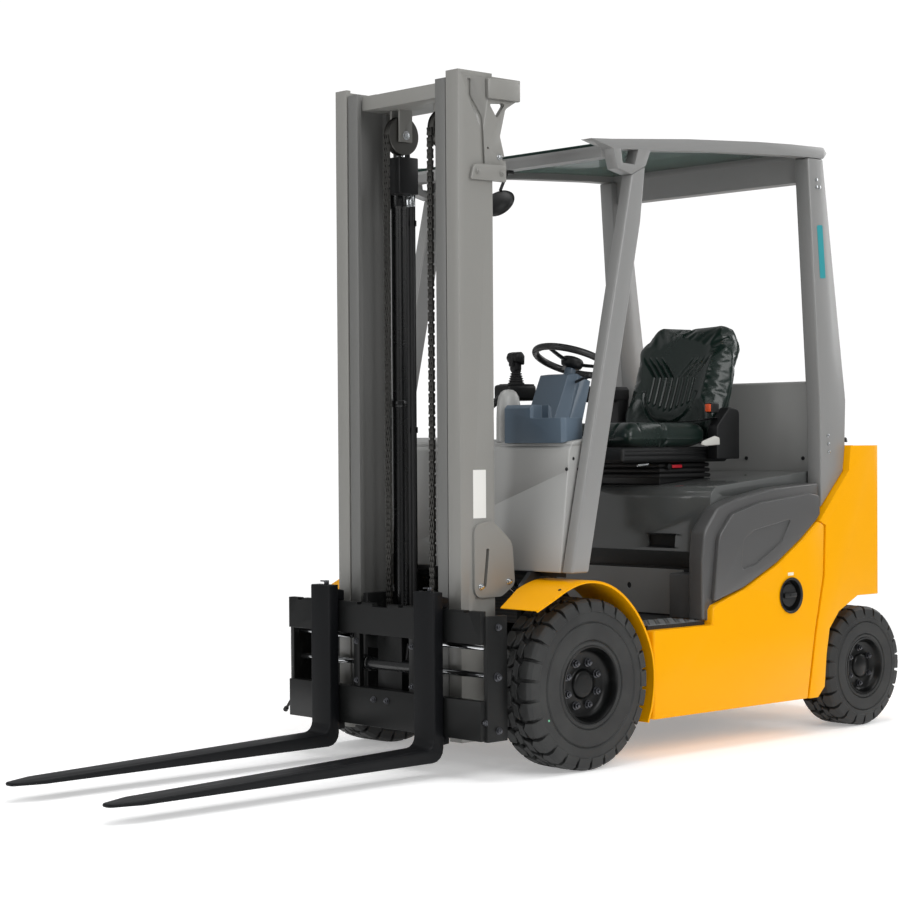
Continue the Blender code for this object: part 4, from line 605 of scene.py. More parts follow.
def wall(radius, half, rim):
    """Tyre section (radius, reach) from the outer bead over the tread root to the inner bead."""
    share = (radius - rim) / 0.162
    outer = [(rim + 0.001, half - 0.009), (rim + 0.006, half - 0.004), (rim + 0.020 * share, half - 0.0018),
             (rim + 0.026 * share, half - 0.0065), (rim + 0.030 * share, half - 0.0015),
             (rim + 0.052 * share, half - 0.0003), (rim + 0.080 * share, half - 0.0004),
             (rim + 0.085 * share, half - 0.0052), (rim + 0.091 * share, half - 0.0008),
             (rim + 0.112 * share, half - 0.0022), (radius - 0.034, half - 0.0045),
             (radius - 0.026, half - 0.011), (radius - 0.0165, half - 0.022), (radius - 0.0150, half * 0.5)]
    return outer + [(r, -y) for r, y in outer[::-1]]


def nut(name, spot, way, size, height):
    """Hexagon nut with a washer face and a stud through it."""
    spot, way = Vector(spot), Vector(way).normalized()
    washer = bar("washer", spot, spot + way * 0.0025, size * 0.68, 20, 0.0006)
    body = bar("body", spot + way * 0.002, spot + way * height, size * 0.577, 6, 0.0010)
    stud = bar("stud", spot + way * height * 0.9, spot + way * (height + size * 0.28), size * 0.30, 12,
               0.0012)
    return joined(name, washer, body, stud)


FRONT_RIM_PROFILE = [(0.112, -0.070), (0.112, 0.050), (0.1215, 0.076), (0.1265, 0.0805), (0.1285, 0.0850),
                     (0.1265, 0.0880), (0.1215, 0.0868), (0.1175, 0.0790), (0.1140, 0.0640), (0.1100, 0.0520),
                     (0.1040, 0.0455), (0.0960, 0.0428), (0.0700, 0.0420), (0.0520, 0.0420), (0.0485, 0.0440),
                     (0.0465, 0.0490), (0.0440, 0.0530), (0.0390, 0.0550), (0.0300, 0.0556), (0.0, 0.0556)]
REAR_RIM_PROFILE = [(0.094, -0.060), (0.094, 0.050), (0.1010, 0.0690), (0.1060, 0.0740), (0.1075, 0.0780),
                    (0.1055, 0.0812), (0.1005, 0.0802), (0.0965, 0.0735), (0.0935, 0.0610), (0.0885, 0.0545),
                    (0.0800, 0.0500), (0.0540, 0.0485), (0.0450, 0.0530), (0.0420, 0.0610), (0.0370, 0.0648),
                    (0.0, 0.0652)]
WHEELS = (("front_wheel", FRONT_RIM_PROFILE, 0.118, 26, 8, 0.074, 0.0420, 0.021),
          ("rear_wheel", REAR_RIM_PROFILE, 0.0995, 22, 6, 0.066, 0.0490, 0.017))
for kind, rim_profile, rim, lugs, nuts, bolt_circle, face, nut_size in WHEELS:
    low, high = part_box(f"{kind}_left")
    centre = (low + high) / 2
    radius, half = (high.z - low.z) / 2, (high.y - low.y) / 2
    blocks = tread("blocks", centre, radius, half, lugs)
    carcass = spun("carcass", wall(radius, half, rim), centre, (0, 1, 0), 96)
    tyre = joined(f"tyre_{kind}_left", carcass, blocks)
    dish = spun(f"rim_{kind}_left", rim_profile, centre, (0, 1, 0), 72)
    fixings = []
    for number in range(nuts):
        turned = 2 * math.pi * (number + 0.5) / nuts
        spot = centre + Vector((math.cos(turned) * bolt_circle, face, math.sin(turned) * bolt_circle))
        fixings.append(nut("nut", spot, (0, 1, 0), nut_size, 0.012))
    fixings = joined(f"nuts_{kind}_left", *fixings)
    spot = centre + Vector((0.195 if kind == "front_wheel" else 0.120, half - 0.0022, -0.098))
    mark = bar(f"balance_mark_{kind}_left", spot, spot + Vector((0, 0.0012, 0)), 0.0035, 12)
    made = [(tyre, tyre_rubber, "tyre_rubber"), (dish, rim_enamel, "tyre_rubber"),
            (fixings, nut_zinc, "tyre_rubber"), (mark, balance_paint, "tyre_rubber")]
    for piece, look, slot_name in made:
        twin = piece.copy()
        twin.data = piece.data.copy()
        twin.name = piece.name.replace("_left", "_right")
        bpy.context.scene.collection.objects.link(twin)
        twin.data.transform(Matrix.Scale(-1.0, 4, (0, 1, 0)))
        twin.data.flip_normals()
        stands = [f"{kind}_left"] if piece is tyre else []
        fitted(piece, f"{kind}_left", slot_name, look, *stands)
        stands = [f"{kind}_right"] if piece is tyre else []
        fitted(twin, f"{kind}_right", slot_name, look, *stands)

# ---- counterweight --------------------------------------------------------------------------
# One heavy iron casting, filled and sprayed gloss yellow like the sides. A radiator outlet
# with black louvres and the tow pin are let into its rear face.
casting = pressed("counterweight", "counterweight_casting", 0.009, 3, 28.0)
fitted(casting, "chassis", "yellow_paint", yellow_gloss, "counterweight")
low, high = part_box("counterweight")
X_BACK = low.x
slats = [block("frame_side", (X_BACK + 0.020, side * 0.186, 0.566), (X_BACK + 0.058, side * 0.176, 0.854),
               0.002)
         for side in (1, -1)]
for number in range(12):
    z = 0.578 + number * 0.0235
    slat = plate("slat", "Y", -0.180, 0.180, [(X_BACK + 0.026, z), (X_BACK + 0.030, z + 0.004),
                                             (X_BACK + 0.056, z + 0.018), (X_BACK + 0.056, z + 0.012)],
                                             0.0008, 1)
    slats.append(slat)
fitted(joined("radiator_louvres", *slats), "chassis", "yellow_paint", black_nylon)
tow_pin = spun("tow_pin", [(0.0, 0.150), (0.0165, 0.150), (0.0185, 0.146), (0.0185, 0.141), (0.0130, 0.138),
                           (0.0130, -0.012), (0.0110, -0.018), (0.0, -0.018)],
               (X_BACK + 0.035, 0.0, 0.320), (0, 0, 1), 28)
# Bright zinc plate on turned steel.
bright_zinc = painted("bright_zinc_plate", 0xC9CCCE, 0.22, peel=0.02, metal=1.0, speck=0.03)
fitted(tow_pin, "chassis", "yellow_paint", bright_zinc)
rubber_stop = spun("counterweight_top_stop", [(0.0, 0.018), (0.012, 0.018), (0.0155, 0.014), (0.017, 0.0),
                                              (0.0, 0.0)],
                   (X_BACK + 0.330, 0.430, high.z - 0.034), (0, 0, 1), 24)
fitted(rubber_stop, "chassis", "black_plastic", black_nylon)

# ---- floor and steps ---------------------------------------------------------------------------
# A folded steel floor under a ribbed black rubber mat, with bare aluminium tread plates at the
# steps. A grey panel closes the heel space, and two pedals stand on the sloping toe board.


def ribbed_mat(name, colour, roughness, pitch_mm):
    """Rubber mat with straight ribs running across the truck."""
    made = painted(name, colour, roughness, peel=0.2)
    tree = made.node_tree
    place = add_node(tree, "ShaderNodeTexCoord").outputs["Object"]
    ribs = add_node(tree, "ShaderNodeTexWave", [("Vector", place)], wave_type="BANDS",
                    bands_direction="X", wave_profile="SIN")
    ribs.inputs["Scale"].default_value = 1000.0 / pitch_mm / 3.14159
    bump = add_node(tree, "ShaderNodeBump", [("Height", ribs.outputs["Fac"])], Distance=0.0015)
    bump.inputs["Strength"].default_value = 0.55
    tree.links.new(bump.outputs["Normal"], tree.nodes["Principled BSDF"].inputs["Normal"])
    return made


# Black nitrile floor mat with ribs 12 mm apart.
floor_mat = ribbed_mat("ribbed_floor_mat_black_rubber", 0x1E1F20, 0.62, 12.0)
coated("floor_plate", floor_mat)
# Rolled aluminium tread plate: bright, scuffed by boots.
tread_alloy = painted("rolled_aluminium_tread_plate", 0xB9BBBC, 0.30, peel=0.15, metal=1.0, speck=0.10)
STEP = (Vector((-0.520, 0.355, 0.4465)), Vector((-0.245, 0.510, 0.4485)))
for name, side in SIDES:
    sheet = block("sheet", (STEP[0].x, side * STEP[0].y, STEP[0].z),
                  (STEP[1].x, side * STEP[1].y, STEP[1].z), 0.0006, 1)
    bars = [sheet]
    for row in range(11):
        for column in range(6):
            x = STEP[0].x + 0.013 + row * 0.0248
            y = side * (STEP[0].y + 0.014 + column * 0.0252)
            lean = 1 if (row + column) % 2 else -1
            away = Vector((0.0068, 0.0068 * lean, 0))
            spot = Vector((x, y, STEP[1].z - 0.0003))
            bars.append(bar("raised", spot - away, spot + away, 0.0021, 6))
    fitted(joined(f"tread_plate_{name}", *bars), "chassis", "black_plastic", tread_alloy)
# Grained grey ABS behind the driver's heels: matt, so scuffs would not show.
panel = block("kick_panel", (-0.6118, -0.345, 0.452), (-0.6088, 0.345, 0.612), 0.0008, 1)
panel = carved(panel, bar("hole", (-0.630, 0.083, 0.547), (-0.600, 0.083, 0.547), 0.011, 24))
heel_abs = moulded("heel_panel_grained_grey_abs", 0x8A8B8B, 0.45)
fitted(panel, "chassis", "hood_plastic", heel_abs)
for name, side in SIDES:
    trim = block(f"sill_trim_{name}", (-0.6115, side * 0.3465, 0.4470), (-0.5290, side * 0.5205, 0.6050),
                 0.006, 3)
    fitted(trim, "chassis", "hood_plastic", hood_abs)
pedals = []
for y, width, lift in ((-0.165, 0.060, 0.0), (-0.030, 0.080, 0.010)):
    foot = Vector((-0.155, y - 0.03, 0.535 + lift))
    pad = block("pad", (-0.0035, -width / 2, -0.055), (0.0035, width / 2, 0.055), 0.003)
    stand = Matrix.Translation(foot + Vector((-0.030, 0, 0.030)))
    pad.data.transform(stand @ Matrix.Rotation(math.radians(38), 4, "Y"))
    arm = bar("arm", foot + Vector((0.030, 0, -0.005)), foot + Vector((-0.026, 0, 0.028)), 0.006, 12)
    pedals += [pad, arm]
fitted(joined("pedals", *pedals), "chassis", "black_plastic", black_nylon)

# ---- cowl and dash tray -------------------------------------------------------------------------
# The cowl is one grained grey moulding with a joint line under its top. A slate grey tray is
# screwed on at the left, and a dome in the cowl's grey plastic covers the instruments in the middle.
# Fine-grained ABS: the grain scatters the light, so the sweep of the cowl shades softly.
cowl_abs = moulded("grained_cowl_abs", 0xA0A09E, 0.40, 0.9, 0.20, 0.03)
slate_abs = moulded("slate_dash_abs", 0x546371, 0.38, 0.8, 0.18, 0.02)
shell = pressed("cowl", "cowl_shell", 0.006, 3, 24.0)
PLUGS = ((0.064, 1.0115), (0.094, 0.9776), (0.042, 0.9769))
cutters = [bar("hole", (x, 0.470, z), (x, 0.4600, z), 0.0062, 24) for x, z in PLUGS]
cutters += [block("line", (-0.150, side * 0.4636, 1.0525), (0.095, side * 0.480, 1.0552), 0)
            for side in (1, -1)]
cutters.append(block("line", (0.0735, -0.48, 1.0525), (0.095, 0.48, 1.0552), 0))
shell = carved(shell, *cutters)
fitted(shell, "chassis", "cowl_plastic", cowl_abs, "cowl")
foot_panel = block("cowl_foot_panel", (0.0955, -0.460, 0.624), (0.0995, 0.460, 0.700), 0.0015)
fitted(foot_panel, "chassis", "black_plastic", black_nylon)
plugs = [bar("plug", (x, 0.4602, z), (x, 0.4628, z), 0.0060, 20, 0.0006) for x, z in PLUGS]
fitted(joined("cowl_plugs", *plugs), "chassis", "black_plastic", black_nylon)
tray = pressed("dash_tray", "dash_tray_shell", 0.0055, 3, 30.0)
fitted(tray, "chassis", "slate_plastic", slate_abs, "dash_tray")
mat_in_tray = block("tray_rubber_mat", (0.004, 0.262, 1.1162), (0.064, 0.418, 1.1190), 0.0008)
fitted(mat_in_tray, "chassis", "black_plastic", floor_mat)
dome = spun("instrument_dome", [(0.0, 0.160), (0.012, 0.158), (0.021, 0.150), (0.028, 0.134), (0.032, 0.106),
                                (0.0335, 0.060), (0.0340, -0.018)], (0.020, 0.1145, 1.086), (0, 0, 1), 48)
dome.data.transform(Matrix.Translation((0.020, 0, 0)) @ Matrix.Diagonal((1.45, 1.0, 1.0, 1.0))
                    @ Matrix.Translation((-0.020, 0, 0)))
fitted(dome, "chassis", "cowl_plastic", cowl_abs)

# ---- control console ----------------------------------------------------------------------------
# A black nylon console on a steel arm carries the lever for lift, tilt and shift: a ribbed
# rubber boot, a soft grip and a thumb button.
console_arm = bar("arm", (-0.022, -0.225, 1.080), (-0.285, -0.225, 1.237), 0.0138, 20)
console_box = block("box", (-0.414, -0.264, 1.216), (-0.266, -0.186, 1.274), 0.012, 3)
console_lip = block("lip", (-0.407, -0.257, 1.272), (-0.290, -0.193, 1.277), 0.002)
fitted(joined("console_body", console_arm, console_box, console_lip), "chassis", "black_plastic",
       black_nylon, "control_console")
ribs = [(0.0, 0.0), (0.0300, 0.0)]
for ring in range(6):
    reach, width = 0.004 + ring * 0.0085, 0.0300 - ring * 0.0022
    ribs += [(width, reach), (width - 0.0006, reach + 0.0035), (width - 0.0058, reach + 0.0052),
             (width - 0.0060, reach + 0.0068)]
ribs += [(0.0130, 0.0560), (0.0, 0.0560)]
boot = spun("lever_boot", ribs, (-0.345, -0.225, 1.2745), (0, 0, 1), 40)
# Soft chloroprene boot: darker and duller than the nylon around it.
boot_rubber = moulded("chloroprene_boot_rubber", 0x141415, 0.66, 1.2, 0.15, 0.0)
fitted(boot, "chassis", "black_plastic", boot_rubber)
stem = block("stem", (-0.360, -0.243, 1.322), (-0.326, -0.207, 1.362), 0.009, 3)
head = plate("head", "Y", -0.2520, -0.1980, [(-0.3645, 1.345), (-0.3665, 1.380), (-0.3520, 1.3945),
                                             (-0.3260, 1.3900), (-0.3175, 1.3720), (-0.3260, 1.3560)], 0.006,
                                             3)
nose = block("nose", (-0.330, -0.236, 1.340), (-0.3165, -0.214, 1.386), 0.004, 3)
thumb = bar("thumb", (-0.3500, -0.2005, 1.374), (-0.3500, -0.1978, 1.374), 0.0072, 20, 0.0008)
fitted(joined("lever_grip", stem, head, nose, thumb), "chassis", "black_plastic", black_nylon)

# ---- steering column and wheel --------------------------------------------------------------------
# Two moulded slate half shells hide the column. The wheel has a foamed rim over a steel hoop,
# three dished spokes and a round hub cap; a lever for the direction stands out on the left.
LEAN = math.radians(21.0)
column_up = Vector((-math.sin(LEAN), 0.0, math.cos(LEAN)))
column_front = Vector((math.cos(LEAN), 0.0, math.sin(LEAN)))
FOOT = Vector((-0.10, 0.0, 0.55))
shells = pressed("steering_column", "column_shells", 0.007, 3, 24.0)
joint_line = plate("joint", "Y", 0.0690, 0.0800, [
    tuple((FOOT + column_up * a + column_front * b).xz) for a, b in
    ((0.470, 0.0090), (0.800, 0.0090), (0.800, 0.0072), (0.470, 0.0072))], 0)
shells = carved(shells, joint_line)
fitted(shells, "steering_column", "slate_plastic", slate_abs, "steering_column")
knob_foot = FOOT + column_up * 0.770 + column_front * 0.020
lever = bar("lever", knob_foot + Vector((0, 0.060, 0)), knob_foot + Vector((0.030, 0.150, 0.018)), 0.0050, 12)
knob = bar("knob", knob_foot + Vector((0.026, 0.138, 0.0155)), knob_foot + Vector((0.040, 0.176, 0.0225)),
           0.0085, 16,
           0.003)
fitted(joined("direction_lever", lever, knob), "steering_column", "slate_plastic", black_nylon)
HUB_MIDDLE = FOOT + column_up * 0.862


def on_wheel(turned, radius, rise):
    """A point of the steering wheel: angle from the left, radius, height over the hub."""
    out = Vector((0, 1, 0)) * math.cos(turned) + column_front * math.sin(turned)
    return HUB_MIDDLE + out * radius + column_up * rise


bpy.ops.object.select_all(action="DESELECT")
bpy.ops.mesh.primitive_torus_add(major_radius=0.1372, minor_radius=0.0126, major_segments=96,
                                 minor_segments=20)
hoop = bpy.context.object
work = bmesh.new()
work.from_mesh(hoop.data)
for vert in work.verts:
    turned = math.atan2(vert.co.y, vert.co.x)
    radial = math.hypot(vert.co.x, vert.co.y)
    if radial < 0.133:
        swell = 0.0012 * max(0.0, math.cos(turned * 18.0))
        vert.co.x += math.cos(turned) * swell
        vert.co.y += math.sin(turned) * swell
work.to_mesh(hoop.data)
work.free()
hoop.data.transform(Matrix.Translation(HUB_MIDDLE) @ column_up.to_track_quat("Z", "Y").to_matrix().to_4x4())
only(hoop)
bpy.ops.object.shade_smooth()
# Polyurethane foam skin: satin black, polished a little where the hands run.
foam_skin = moulded("foamed_polyurethane_skin", 0x1B1B1C, 0.42, 0.9, 0.12, 0.0)
fitted(hoop, "steering_wheel", "black_plastic", foam_skin, "steering_wheel")
arms = []
for turned in (math.radians(90), math.radians(210), math.radians(330)):
    stations = []
    for share in range(6):
        radius = 0.030 + share * 0.0200
        rise = -0.0100 + 0.0100 * (share / 5) ** 1.5
        stations.append((on_wheel(turned, radius, rise), 0.0150 - 0.0011 * share))
    along = column_up.cross((stations[-1][0] - stations[0][0]).normalized())
    work = bmesh.new()
    rings = []
    for spot, width in stations:
        rings.append([work.verts.new(spot + along * (width * math.cos(k * math.pi / 4))
                                     + column_up * (0.0050 * math.sin(k * math.pi / 4))) for k in range(8)])
    for first, second in zip(rings, rings[1:]):
        for k in range(8):
            work.faces.new((first[k], first[(k + 1) % 8], second[(k + 1) % 8], second[k]))
    work.faces.new(rings[0][::-1])
    work.faces.new(rings[-1])
    bmesh.ops.recalc_face_normals(work, faces=work.faces)
    spoke = as_piece("spoke", work)
    bpy.ops.object.shade_smooth_by_angle(angle=math.radians(50.0))
    arms.append(spoke)
cap = spun("cap", [(0.0, 0.0115), (0.026, 0.0105), (0.036, 0.0070), (0.0400, 0.0010), (0.0408, -0.0090),
                   (0.0370, -0.0200), (0.0260, -0.0275), (0.0, -0.0280)], HUB_MIDDLE, column_up, 48)
fitted(joined("wheel_spokes", cap, *arms), "steering_wheel", "black_plastic", black_nylon)

# ---- hood and rear wall -------------------------------------------------------------------------
# The hood is a moulded cover over the engine, hinged behind, with rounded corners, a grip
# recess in its front face and a dark kick strip. A flat wall stands up behind the seat.
# Dark rough ABS for the strip that boots touch: it stays dull under the glossy front.
kick_abs = painted("kick_strip_dark_abs", 0x222323, 0.50, peel=0.2)
# ABS moulded on a polished tool: a clear, sharp sheen on the rounded top.
hood_gloss = moulded("moulded_abs_grey_polished", 0x565857, 0.20)
hood_gloss.node_tree.nodes["Principled BSDF"].inputs["Coat Weight"].default_value = 0.9
hood_gloss.node_tree.nodes["Principled BSDF"].inputs["Coat Roughness"].default_value = 0.10
cover = pressed("hood", "hood_moulding", 0.004, 2, 30.0)
low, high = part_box("hood")
grip_cut = block("grip", (high.x - 0.018, 0.166, 0.690), (high.x + 0.02, 0.296, 0.735), 0)
panel_lines = [block("line", (-1.10, side * 0.449 - 0.0016, 0.8715), (-0.70, side * 0.449 + 0.0016, 0.8740),
                     0)
               for side in (1, -1)]
cover = carved(cover, grip_cut, *panel_lines)
fitted(cover, "hood", "hood_plastic", hood_gloss, "hood")
grip_cup = [block("cup", (high.x - 0.0195, 0.160, 0.684), (high.x - 0.0165, 0.302, 0.741), 0.001, 1),
            block("cup", (high.x - 0.018, 0.164, 0.7335), (high.x + 0.0035, 0.298, 0.7385), 0.0015),
            block("cup", (high.x - 0.018, 0.164, 0.6865), (high.x + 0.0015, 0.298, 0.6905), 0.0015)]
fitted(joined("hood_grip", *grip_cup), "hood", "black_plastic", black_nylon)
kick = block("kick_strip", (high.x - 0.004, -0.400, 0.6215), (high.x + 0.0022, 0.420, 0.676), 0.0015)
fitted(kick, "hood", "black_plastic", kick_abs)
wall_panel = pressed("rear_wall", "rear_wall_panel", 0.005, 3, 30.0)
fitted(wall_panel, "hood", "hood_plastic", cowl_abs, "rear_wall")
bolts = []
for y in (-0.40, -0.13, 0.13, 0.40):
    bolts.append(bar("bolt", (-1.2165, y, 1.000), (-1.2115, y, 1.000), 0.0075, 6, 0.0008))
fitted(joined("rear_wall_bolts", *bolts), "hood", "hood_plastic", black_nylon)

# ---- seat -----------------------------------------------------------------------------------------
# A suspension seat: foam cushions pressed into a black vinyl cover with sewn channels, on a
# moulded base pan. The belt reel and its orange buckle sit at the left hip.


def stuffed(source, name, shrink, cap, pressure=4.0, voxel=0.006, shaped=None):
    """Foam under its cover: remeshed, blown up as cloth inside a cap, then subdivided."""
    seed = bpy.data.objects.new(name, cad[source].data.copy())
    seed.data.transform(cad[source].matrix_world)
    bpy.context.scene.collection.objects.link(seed)
    middle = sum((v.co for v in seed.data.vertices), Vector()) / len(seed.data.vertices)
    for vert in seed.data.vertices:
        for k in range(3):
            away = vert.co[k] - middle[k]
            vert.co[k] -= math.copysign(min(abs(away), shrink[k]), away)
    only(seed)
    seed.data.remesh_voxel_size = voxel
    bpy.ops.object.voxel_remesh()
    smooth = seed.modifiers.new("soften", "SMOOTH")
    smooth.factor = 0.6
    smooth.iterations = 26
    bpy.ops.object.modifier_apply(modifier=smooth.name)
    start = [v.co.copy() for v in seed.data.vertices]
    cloth = seed.modifiers.new("cloth", "CLOTH")
    cloth.settings.quality = 5
    cloth.settings.mass = 0.4
    cloth.settings.tension_stiffness = 22
    cloth.settings.compression_stiffness = 22
    cloth.settings.bending_stiffness = 6
    cloth.settings.use_pressure = True
    cloth.settings.uniform_pressure_force = pressure
    cloth.settings.effector_weights.gravity = 0.0
    cloth.collision_settings.use_collision = False
    for frame_number in range(1, 21):
        bpy.context.scene.frame_set(frame_number)
    bpy.context.view_layer.update()
    blown = seed.evaluated_get(bpy.context.evaluated_depsgraph_get()).data
    places = [v.co.copy() for v in blown.vertices]
    seed.modifiers.clear()
    bpy.context.scene.frame_set(1)
    for vert, first, last in zip(seed.data.vertices, start, places):
        moved = last - first
        if moved.length > cap:
            moved *= cap / moved.length
        vert.co = first + moved
    low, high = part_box(source)
    for vert in seed.data.vertices:
        if shaped:
            vert.co = shaped(vert.co.copy())
        for k in range(3):
            vert.co[k] = min(max(vert.co[k], low[k] - (0.004 if k != 2 else 0.0)), high[k] + 0.006)
    only(seed)
    finer = seed.modifiers.new("finer", "SUBSURF")
    finer.levels = 1
    bpy.ops.object.modifier_apply(modifier=finer.name)
    bpy.ops.object.shade_smooth()
    return seed


def sewn(piece, depth_at):
    """Pushes the cover in along its seams by a depth that a function gives for each point."""
    for vert in piece.data.vertices:
        vert.co += depth_at(vert.co)
    piece.data.update()
    return piece


def groove(distance, width, depth):
    """Depth of a sewn channel at a distance from its line."""
    share = min(1.0, abs(distance) / width)
    return depth * (1.0 - share * share) ** 2


CUSHION_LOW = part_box("seat_cushion")[0]


def cushion_shape(spot):
    """A seat pan that dips in the middle, with raised side wings and a rolled front."""
    x, y, z = spot
    across = min(1.0, abs(y) / 0.235)
    lift = z - CUSHION_LOW.z
    wing = 0.010 * math.exp(-((across - 0.78) / 0.16) ** 2) - 0.010 * math.exp(-(across / 0.45) ** 2)
    if lift > 0.04:
        spot.z = z + wing
        if x > -0.535:
            spot.z -= 0.30 * (x + 0.535) ** 2 / 0.085
    return spot


def cushion_seams(spot):
    if spot.z < CUSHION_LOW.z + 0.045:
        piping = abs(spot.z - CUSHION_LOW.z - 0.030) <= 0.004
        return Vector((0, math.copysign(-0.0015, spot.y), 0)) if piping else Vector()
    deep = groove(abs(spot.y) - 0.130, 0.010, 0.0075)
    for x in (-0.620, -0.680, -0.740, -0.800):
        if abs(spot.y) < 0.125:
            deep = max(deep, groove(spot.x - x + 0.25 * abs(spot.y) ** 1.5, 0.010, 0.0060))
    if spot.x > -0.545 and spot.x < -0.525:
        deep = max(deep, groove(spot.x + 0.535, 0.009, 0.0045))
    return Vector((0, 0, -deep))


def vinyl(name, colour, sheen):
    """Coated seat cloth: leather grain 2 to 3 mm across, with a soft satin shine."""
    made = painted(name, colour, 0.27, coat=0.0, peel=0.0, speck=0.05)
    tree = made.node_tree
    shader = tree.nodes["Principled BSDF"]
    place = add_node(tree, "ShaderNodeTexCoord").outputs["Object"]
    cells = add_node(tree, "ShaderNodeTexVoronoi", [("Vector", place)], Scale=520.0)
    wrinkle = add_node(tree, "ShaderNodeTexNoise", [("Vector", place)], Scale=38.0, Detail=4.0)
    fine = add_node(tree, "ShaderNodeBump", [("Height", cells.outputs["Distance"])], Distance=0.0004)
    fine.inputs["Strength"].default_value = 0.20
    soft = add_node(tree, "ShaderNodeBump", [("Height", wrinkle.outputs["Fac"]),
                                             ("Normal", fine.outputs["Normal"])],
                    Distance=0.003)
    soft.inputs["Strength"].default_value = 0.08
    tree.links.new(soft.outputs["Normal"], shader.inputs["Normal"])
    shader.inputs["Sheen Weight"].default_value = sheen
    shader.inputs["Sheen Roughness"].default_value = 0.4
    return made


# Green-black PVC-coated cloth: a satin shine that turns green where it faces the light.
seat_vinyl = vinyl("green_black_pvc_seat_cover", 0x10201B, 0.12)
cushion = stuffed("seat_cushion", "seat_cushion_pad", (0.010, 0.010, 0.010), 0.024, shaped=cushion_shape)
cushion = sewn(cushion, cushion_seams)
fitted(cushion, "hood", "seat_vinyl", seat_vinyl, "seat_cushion")

BACK_FOOT, BACK_LEAN = Vector((-0.905, 0.0, 1.150)), Vector((-0.128, 0.0, 0.375)).normalized()
BACK_OUT = Vector((BACK_LEAN.z, 0.0, -BACK_LEAN.x))


def back_frame(spot):
    """Height up the backrest, and depth out of its front face."""
    away = spot - BACK_FOOT
    return away.dot(BACK_LEAN), away.dot(BACK_OUT)


def back_shape(spot):
    """Side bolsters forward, a hollow between them, a rounded top."""
    up_back, out = back_frame(spot)
    if out > -0.055:
        across = min(1.0, abs(spot.y) / 0.235)
        bolster = 0.012 * math.exp(-((across - 0.80) / 0.16) ** 2)
        hollow = 0.016 * math.exp(-(across / 0.50) ** 2) * math.exp(-((up_back - 0.13) / 0.17) ** 2)
        spot += BACK_OUT * (bolster - hollow - 0.004)
    return spot


def back_seams(spot):
    up_back, out = back_frame(spot)
    if out < -0.035:
        edge = groove(out + 0.070, 0.007, 0.004)
        return Vector((0, math.copysign(-edge, spot.y), 0)) if abs(spot.y) > 0.14 else Vector()
    deep = 0.0
    side_y = abs(spot.y)
    if up_back > -0.02:
        top_of_rib = 0.165
        bend = max(0.0, up_back - top_of_rib)
        if up_back < 0.245:
            for line in (0.014, 0.042, 0.070, 0.098):
                reach = side_y - line - 0.85 * bend
                from_foot = min(1.0, max(0.0, (up_back - 0.020 - 0.30 * line) / 0.020))
                to_top = min(1.0, max(0.0, (0.245 - up_back) / 0.030))
                deep = max(deep, groove(reach, 0.0085, 0.0085) * (from_foot * to_top))
        bowl = math.hypot(side_y / 0.128, (up_back - 0.105) / 0.125)
        if up_back < 0.105:
            deep = max(deep, groove((bowl - 1.0) * 0.12, 0.010, 0.0090))
    return BACK_OUT * -deep


back = stuffed("seat_backrest", "seat_backrest_pad", (0.010, 0.012, 0.012), 0.024, shaped=back_shape)
back = sewn(back, back_seams)
fitted(back, "hood", "seat_vinyl", seat_vinyl, "seat_backrest")

base_pan = pressed("seat_base", "seat_base_pan", 0.006, 3, 30.0)
low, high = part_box("seat_base")
lines = [block("line", (low.x - 0.01, side * 0.2262 - 0.0015, z),
               (high.x + 0.01, side * 0.2262 + 0.0015, z + 0.003), 0)
         for side in (1, -1) for z in (1.012, 1.028)]
base_pan = carved(base_pan, *lines)
fitted(base_pan, "hood", "black_plastic", black_nylon, "seat_base")
folds = []
for number in range(3):
    z = 0.934 + number * 0.019
    folds.append(block("fold", (-0.945 + number * 0.004, -0.186, z), (-0.664, 0.186, z + 0.015), 0.0065, 3))
fitted(joined("suspension_boot", *folds), "hood", "black_plastic", boot_rubber)
slide = bar("slide_lever", (-0.560, 0.224, 0.984), (-0.505, 0.224, 0.981), 0.0048, 14, 0.0012)
fitted(slide, "hood", "black_plastic", bright_zinc)
# Red moulded tab on the weight adjuster; orange press button on the buckle.
red_tab = painted("red_moulded_tab", 0xC3182A, 0.42, peel=0.05)
orange_button = painted("orange_buckle_button", 0xE2582A, 0.40, peel=0.05)
knob = bar("adjuster", (-0.700, 0.171, 0.975), (-0.700, 0.202, 0.975), 0.0115, 24, 0.002)
fitted(knob, "hood", "black_plastic", black_nylon)
tab = block("adjuster_tab", (-0.770, 0.186, 0.969), (-0.716, 0.200, 0.981), 0.003)
fitted(tab, "hood", "black_plastic", red_tab)
module = pressed("belt_module", "belt_module_cover", 0.006, 3, 30.0)
fitted(module, "hood", "black_plastic", black_nylon, "belt_module")
buckle = block("buckle", (-0.885, 0.246, 1.168), (-0.842, 0.278, 1.204), 0.005, 3)
fitted(buckle, "hood", "black_plastic", black_nylon)
button = block("buckle_button", (-0.8430, 0.2495, 1.172), (-0.8375, 0.2745, 1.200), 0.0022)
fitted(button, "hood", "black_plastic", orange_button)
# Pale grey acetal for the recline lever.
pale_lever = painted("pale_grey_acetal", 0xC9C8C2, 0.42, peel=0.05)
recline = plate("recline_lever", "Y", 0.2860, 0.2960, [(-0.868, 1.052), (-0.866, 1.078), (-0.842, 1.0845),
                                                     (-0.776, 1.066), (-0.768, 1.054), (-0.790, 1.048)],
                                                     0.004, 3)
fitted(recline, "hood", "black_plastic", pale_lever)
rest = pressed("armrest", "armrest_pad", 0.007, 3, 30.0)
fitted(rest, "hood", "black_plastic", boot_rubber, "armrest")
